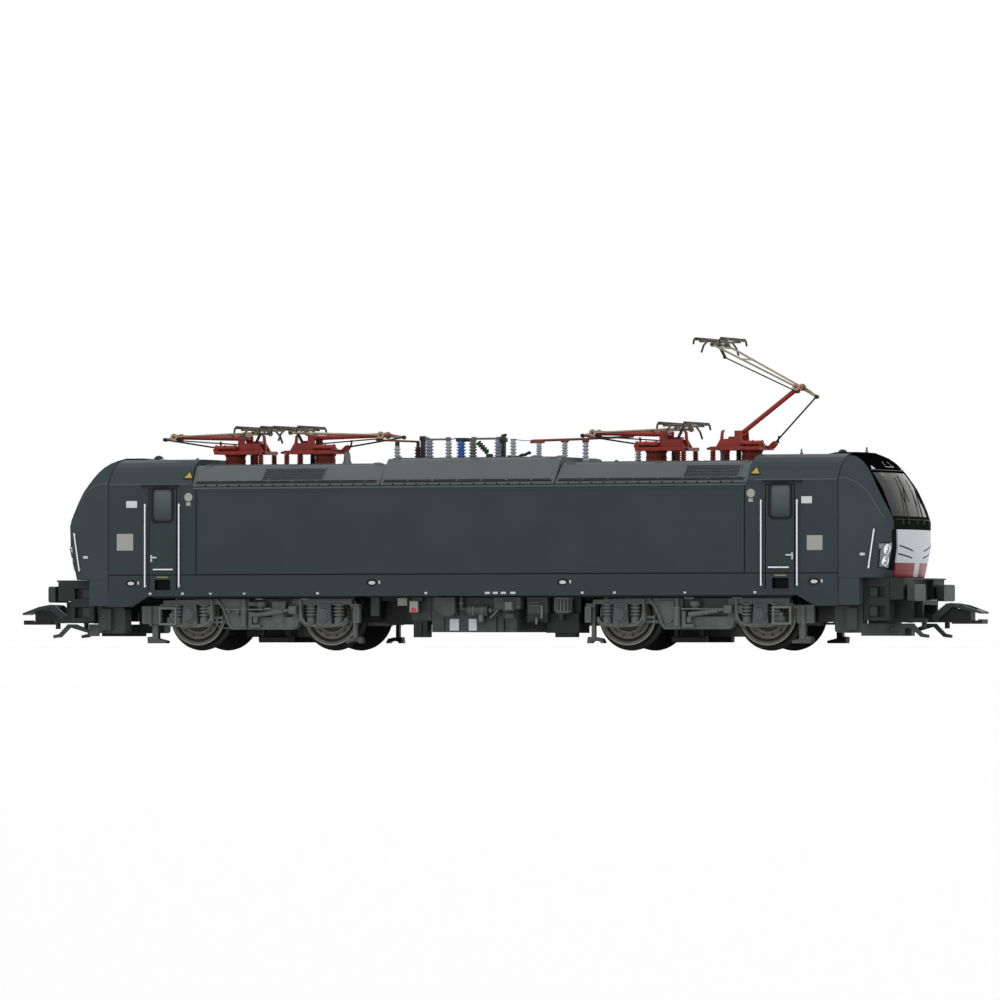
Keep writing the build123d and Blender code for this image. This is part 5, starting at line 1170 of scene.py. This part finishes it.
def plates(bb):
    bb.plate([(-7.6, 10.4), (-3.9, 10.4), (-3.9, 6.2), (-5.2, 5.0), (-6.4, 5.2), (-7.0, 7.0)], -14.35, -14.6, 0.08)
    bb.plate([(11.6, 7.3), (12.8, 7.3), (12.8, 9.3), (11.6, 9.3)], -14.3, -14.55, 0.06)


def casings(bb):
    bb.box(25.0, 29.4, -9.0, 9.0, 5.4, 10.4, 0.2)


bogie_set("end_casings", "rubber", casings)
bogie_set("spring_coils", "highlight_grey", coils)
bogie_set("axlebox_covers", "cover_grey", covers)
bogie_set("bogie_edges", "highlight_grey", edges)
bogie_set("bogie_plates", "frame", plates)

# ================================================================ underfloor details
b, dk, lt, lb, rd = B(), B(), B(), B(), B()
# bands and flanges of the air dryer and its pipes
for x in (-0.1, 0.7, 3.1, 3.9):
    b.lathe((x, -14.9, 8.1), (1, 0, 0), [(0, 1.1), (0.05, 1.22), (0.25, 1.22), (0.3, 1.1)], 24)
b.lathe((4.9, -14.9, 8.15), (1, 0, 0.05), [(0, 0.4), (0.05, 0.6), (0.3, 0.6), (0.35, 0.4)], 14)
b.lathe((-2.3, -15.0, 9.6), (0, 0, 1), [(0, 0.45), (0.05, 0.62), (0.3, 0.62), (0.35, 0.45)], 14)
b.tube([(7.3, -15.0, 9.2), (7.2, -15.1, 8.5), (6.6, -15.1, 7.9), (5.6, -15.0, 7.0), (4.8, -14.7, 6.5)], 0.22, 8)
for x, z in ((6.6, 10.8), (8.0, 10.8), (12.3, 10.8), (12.3, 9.0), (9.2, 9.9), (10.6, 9.9), (9.2, 8.4), (10.6, 8.4)):
    b.bolt((x, -15.62 if x in (6.6, 8.0, 12.3) else -15.92, z), (0, -1, 0), 0.2, 0.16)
b.plate([(9.1, 8.3), (10.8, 8.3), (10.8, 10.1), (9.1, 10.1)], -15.88, -16.02, 0.06)
b.plate([(2.3, 5.6), (3.2, 5.6), (3.2, 7.2), (2.3, 7.2)], -15.35, -15.5, 0.06)
# ribs of the compressor cylinder and frame lines of the box beside it
for k in range(7):
    a_ = math.radians(-66 + 22 * k)
    cx, cy = 22.4 + 2.22 * math.sin(a_), -12.2 - 2.22 * math.cos(a_)
    b.box(cx - 0.12, cx + 0.12, cy - 0.12, cy + 0.12, 7.9, 10.9)
b.lathe((22.4, -12.2, 10.75), (0, 0, 1), [(0, 2.2), (0.05, 2.36), (0.3, 2.36), (0.35, 2.2)], 30)
b.lathe((22.4, -12.2, 7.3), (0, 0, 1), [(0, 1.7), (0.4, 2.2), (0.6, 2.3), (0.7, 2.2)], 30)
for z in (9.85, 9.1):
    b.box(14.6, 17.2, -14.95, -14.78, z, z + 0.14)
b.plate([(17.55, 6.3), (18.1, 6.3), (18.1, 9.3), (17.55, 9.3)], -14.75, -15.0, 0.06)
b.tube([(16.55, -14.9, 6.4), (16.55, -15.0, 5.6), (16.5, -14.9, 4.9)], 0.3, 8)
b.done("underfloor_fittings", "highlight_grey", slot="underframe_grey")
# seams
for x, z0, z1 in ((-7.0, 3.15, 6.7), (6.1, 3.15, 8.0), (8.0, 3.15, 6.2), (-3.5, 6.9, 11.0)):
    dk.box(x - 0.09, x + 0.09, -13.9, -13.7, z0, z1)
dk.box(-10.1, 5.9, -13.9, -13.75, 11.05, 11.2)
dk.box(13.9, 19.1, -14.5, -14.3, 5.2, 5.5)
dk.lathe((16.3, -11.8, 4.9), (0, 1, 0), [(0, 1.6), (1.5, 1.6)], 24)
dk.done("underfloor_seams", "rubber", slot="underframe_grey")
# blank data labels on the tank, blank plate and switch box on the left block
for x0, x1 in ((-5.7, -3.4), (-0.9, 1.1)):
    lb.plate(lb.rrect(x0, x1, 3.45, 6.2, 0.1, 2), -13.75, -13.93, 0.03)
lb.done("tank_labels", "label", slot="rail_white")
lt.plate(lt.rrect(-15.35, -13.25, 7.75, 10.35, 0.12, 2), -14.9, -15.12, 0.05)
lt.plate(lt.rrect(-19.4, -16.9, 9.3, 11.1, 0.12, 2), -12.5, -12.75, 0.04)
lt.done("switch_box_plate", "plate", slot="roof_grey")
rd.plate(rd.rrect(-14.95, -13.6, 7.85, 8.75, 0.1, 2), -15.05, -15.2, 0.03)
rd.done("switch_box_mark", "red_mark", slot="roof_grey")

# ================================================================ pantograph extras
b, dk = B(), B()
for i, (hx, sg) in PANS.items():
    # lift cylinder lying in the base, its end cap and the small bracket at the rod end
    b.cyl((hx + sg * 0.9, -3.2, 46.75), (hx + sg * 6.6, -3.2, 46.75), 0.58, 16, 0.12)
    for u in (1.3, 3.8, 6.1):
        b.lathe((hx + sg * u, -3.2, 46.75), (sg, 0, 0), [(0, 0.58), (0.05, 0.72), (0.3, 0.72), (0.35, 0.58)], 16)
    b.box(hx + sg * 5.6, hx + sg * 6.9, -3.7, -2.7, 45.9, 46.6, 0.1)
    b.box(hx + sg * -3.6, hx + sg * -2.2, -2.0, 0.2, 46.0, 46.5, 0.1)
    for u in (-5.3, -3.9, 0.0, 2.4, 5.4):
        for sy in (-1, 1):
            b.bolt((hx + sg * u, sy * 4.82, 45.6), (0, sy, 0), 0.22, 0.16)
    dk.tube([(hx + sg * 7.0, 3.2, 46.2), (hx + sg * 7.7, 3.2, 46.9), (hx + sg * 8.0, 3.2, 47.8), (hx + sg * 8.0, 3.2, 48.5)], 0.24, 8)
    dk.tube([(hx + sg * 7.6, 3.2, 46.9), (hx + sg * 8.05, 3.2, 47.1)], 0.24, 8)
    dk.cyl((hx + sg * -6.1, -4.3, 45.5), (hx + sg * -6.9, -4.3, 45.5), 0.28, 12, 0.06)
b.done("pantograph_cylinders", "panto", slot="panto_red")
dk.done("pantograph_brackets", "dark", slot="panto_dark")

# ================================================================ floor, light, camera
fm = Net("floor_pale")
fc = fm.mix(fm.rng(fm.noise(3.0, 3.0), 0.35, 0.65, 0.0, 1.0), (0.955, 0.955, 0.955), (0.965, 0.965, 0.965))
fm.put(fm.bsdf.inputs["Base Color"], fc)
fm.bsdf.inputs["Roughness"].default_value = 0.85
me = bpy.data.meshes.new("floor")
R = 6.0
N_ = 64
verts = [(R * math.cos(2 * math.pi * i / N_), R * math.sin(2 * math.pi * i / N_), 0.0) for i in range(N_)]
me.from_pydata(verts, [], [list(range(N_))])
floor = bpy.data.objects.new("floor", me)
bpy.context.scene.collection.objects.link(floor)
me.materials.append(fm.mat)

world = bpy.data.worlds.new("studio")
bpy.context.scene.world = world
world.use_nodes = True
bg = world.node_tree.nodes["Background"]
bg.inputs["Color"].default_value = (1.0, 1.0, 1.0, 1.0)
bg.inputs["Strength"].default_value = 1.0


def area(name, loc, target, size, power, size_y=None, color=(1, 1, 1)):
    l = bpy.data.lights.new(name, "AREA")
    l.energy = power
    l.color = color
    l.size = size
    if size_y:
        l.shape = "RECTANGLE"
        l.size_y = size_y
    o = bpy.data.objects.new(name, l)
    o.location = loc
    o.rotation_mode = "QUATERNION"
    o.rotation_quaternion = (Vector(target) - Vector(loc)).to_track_quat("-Z", "Y")
    bpy.context.scene.collection.objects.link(o)
    o.visible_camera = False
    return o


area("key", (-0.25, -0.75, 0.95), (0, 0, 0.02), 0.7, 3.4, 0.5)
area("fill", (0.95, -0.55, 0.45), (0.05, 0, 0.02), 0.5, 1.0)
area("back", (0.1, 0.8, 0.8), (0, 0, 0.03), 0.6, 1.6)

bpy.context.scene.view_settings.view_transform = "Standard"

# camera: same direction as the photograph, just above the floor
AZ, EL, DIST, FPX = 22.4221, -1.0181, 2.0, 8540.67
CX, CY = 495.137, 551.52
tgt = Vector((0, 0, 0.0232))
a, e = math.radians(AZ), math.radians(EL)
back = Vector((math.sin(a) * math.cos(e), -math.cos(a) * math.cos(e), math.sin(e)))
pos = tgt + back * DIST
rise = 0.0012 - pos.z
q = (-back).to_track_quat("-Z", "Y")
up = q @ Vector((0, 0, 1)) * 0 + q @ Vector((0, 1, 0))
cam = bpy.data.cameras.new("camera")
cam.sensor_width = 36.0
cam.lens = FPX * 36.0 / 1000.0
cam.shift_x = (500.0 - CX) / 1000.0
cam.shift_y = (CY - 500.0) / 1000.0 - rise * FPX / DIST / 1000.0
cam.clip_start, cam.clip_end = 0.001, 50.0
co = bpy.data.objects.new("camera", cam)
co.location = (pos.x, pos.y, pos.z + rise)
co.rotation_mode = "QUATERNION"
co.rotation_quaternion = q
bpy.context.scene.collection.objects.link(co)
bpy.context.scene.camera = co
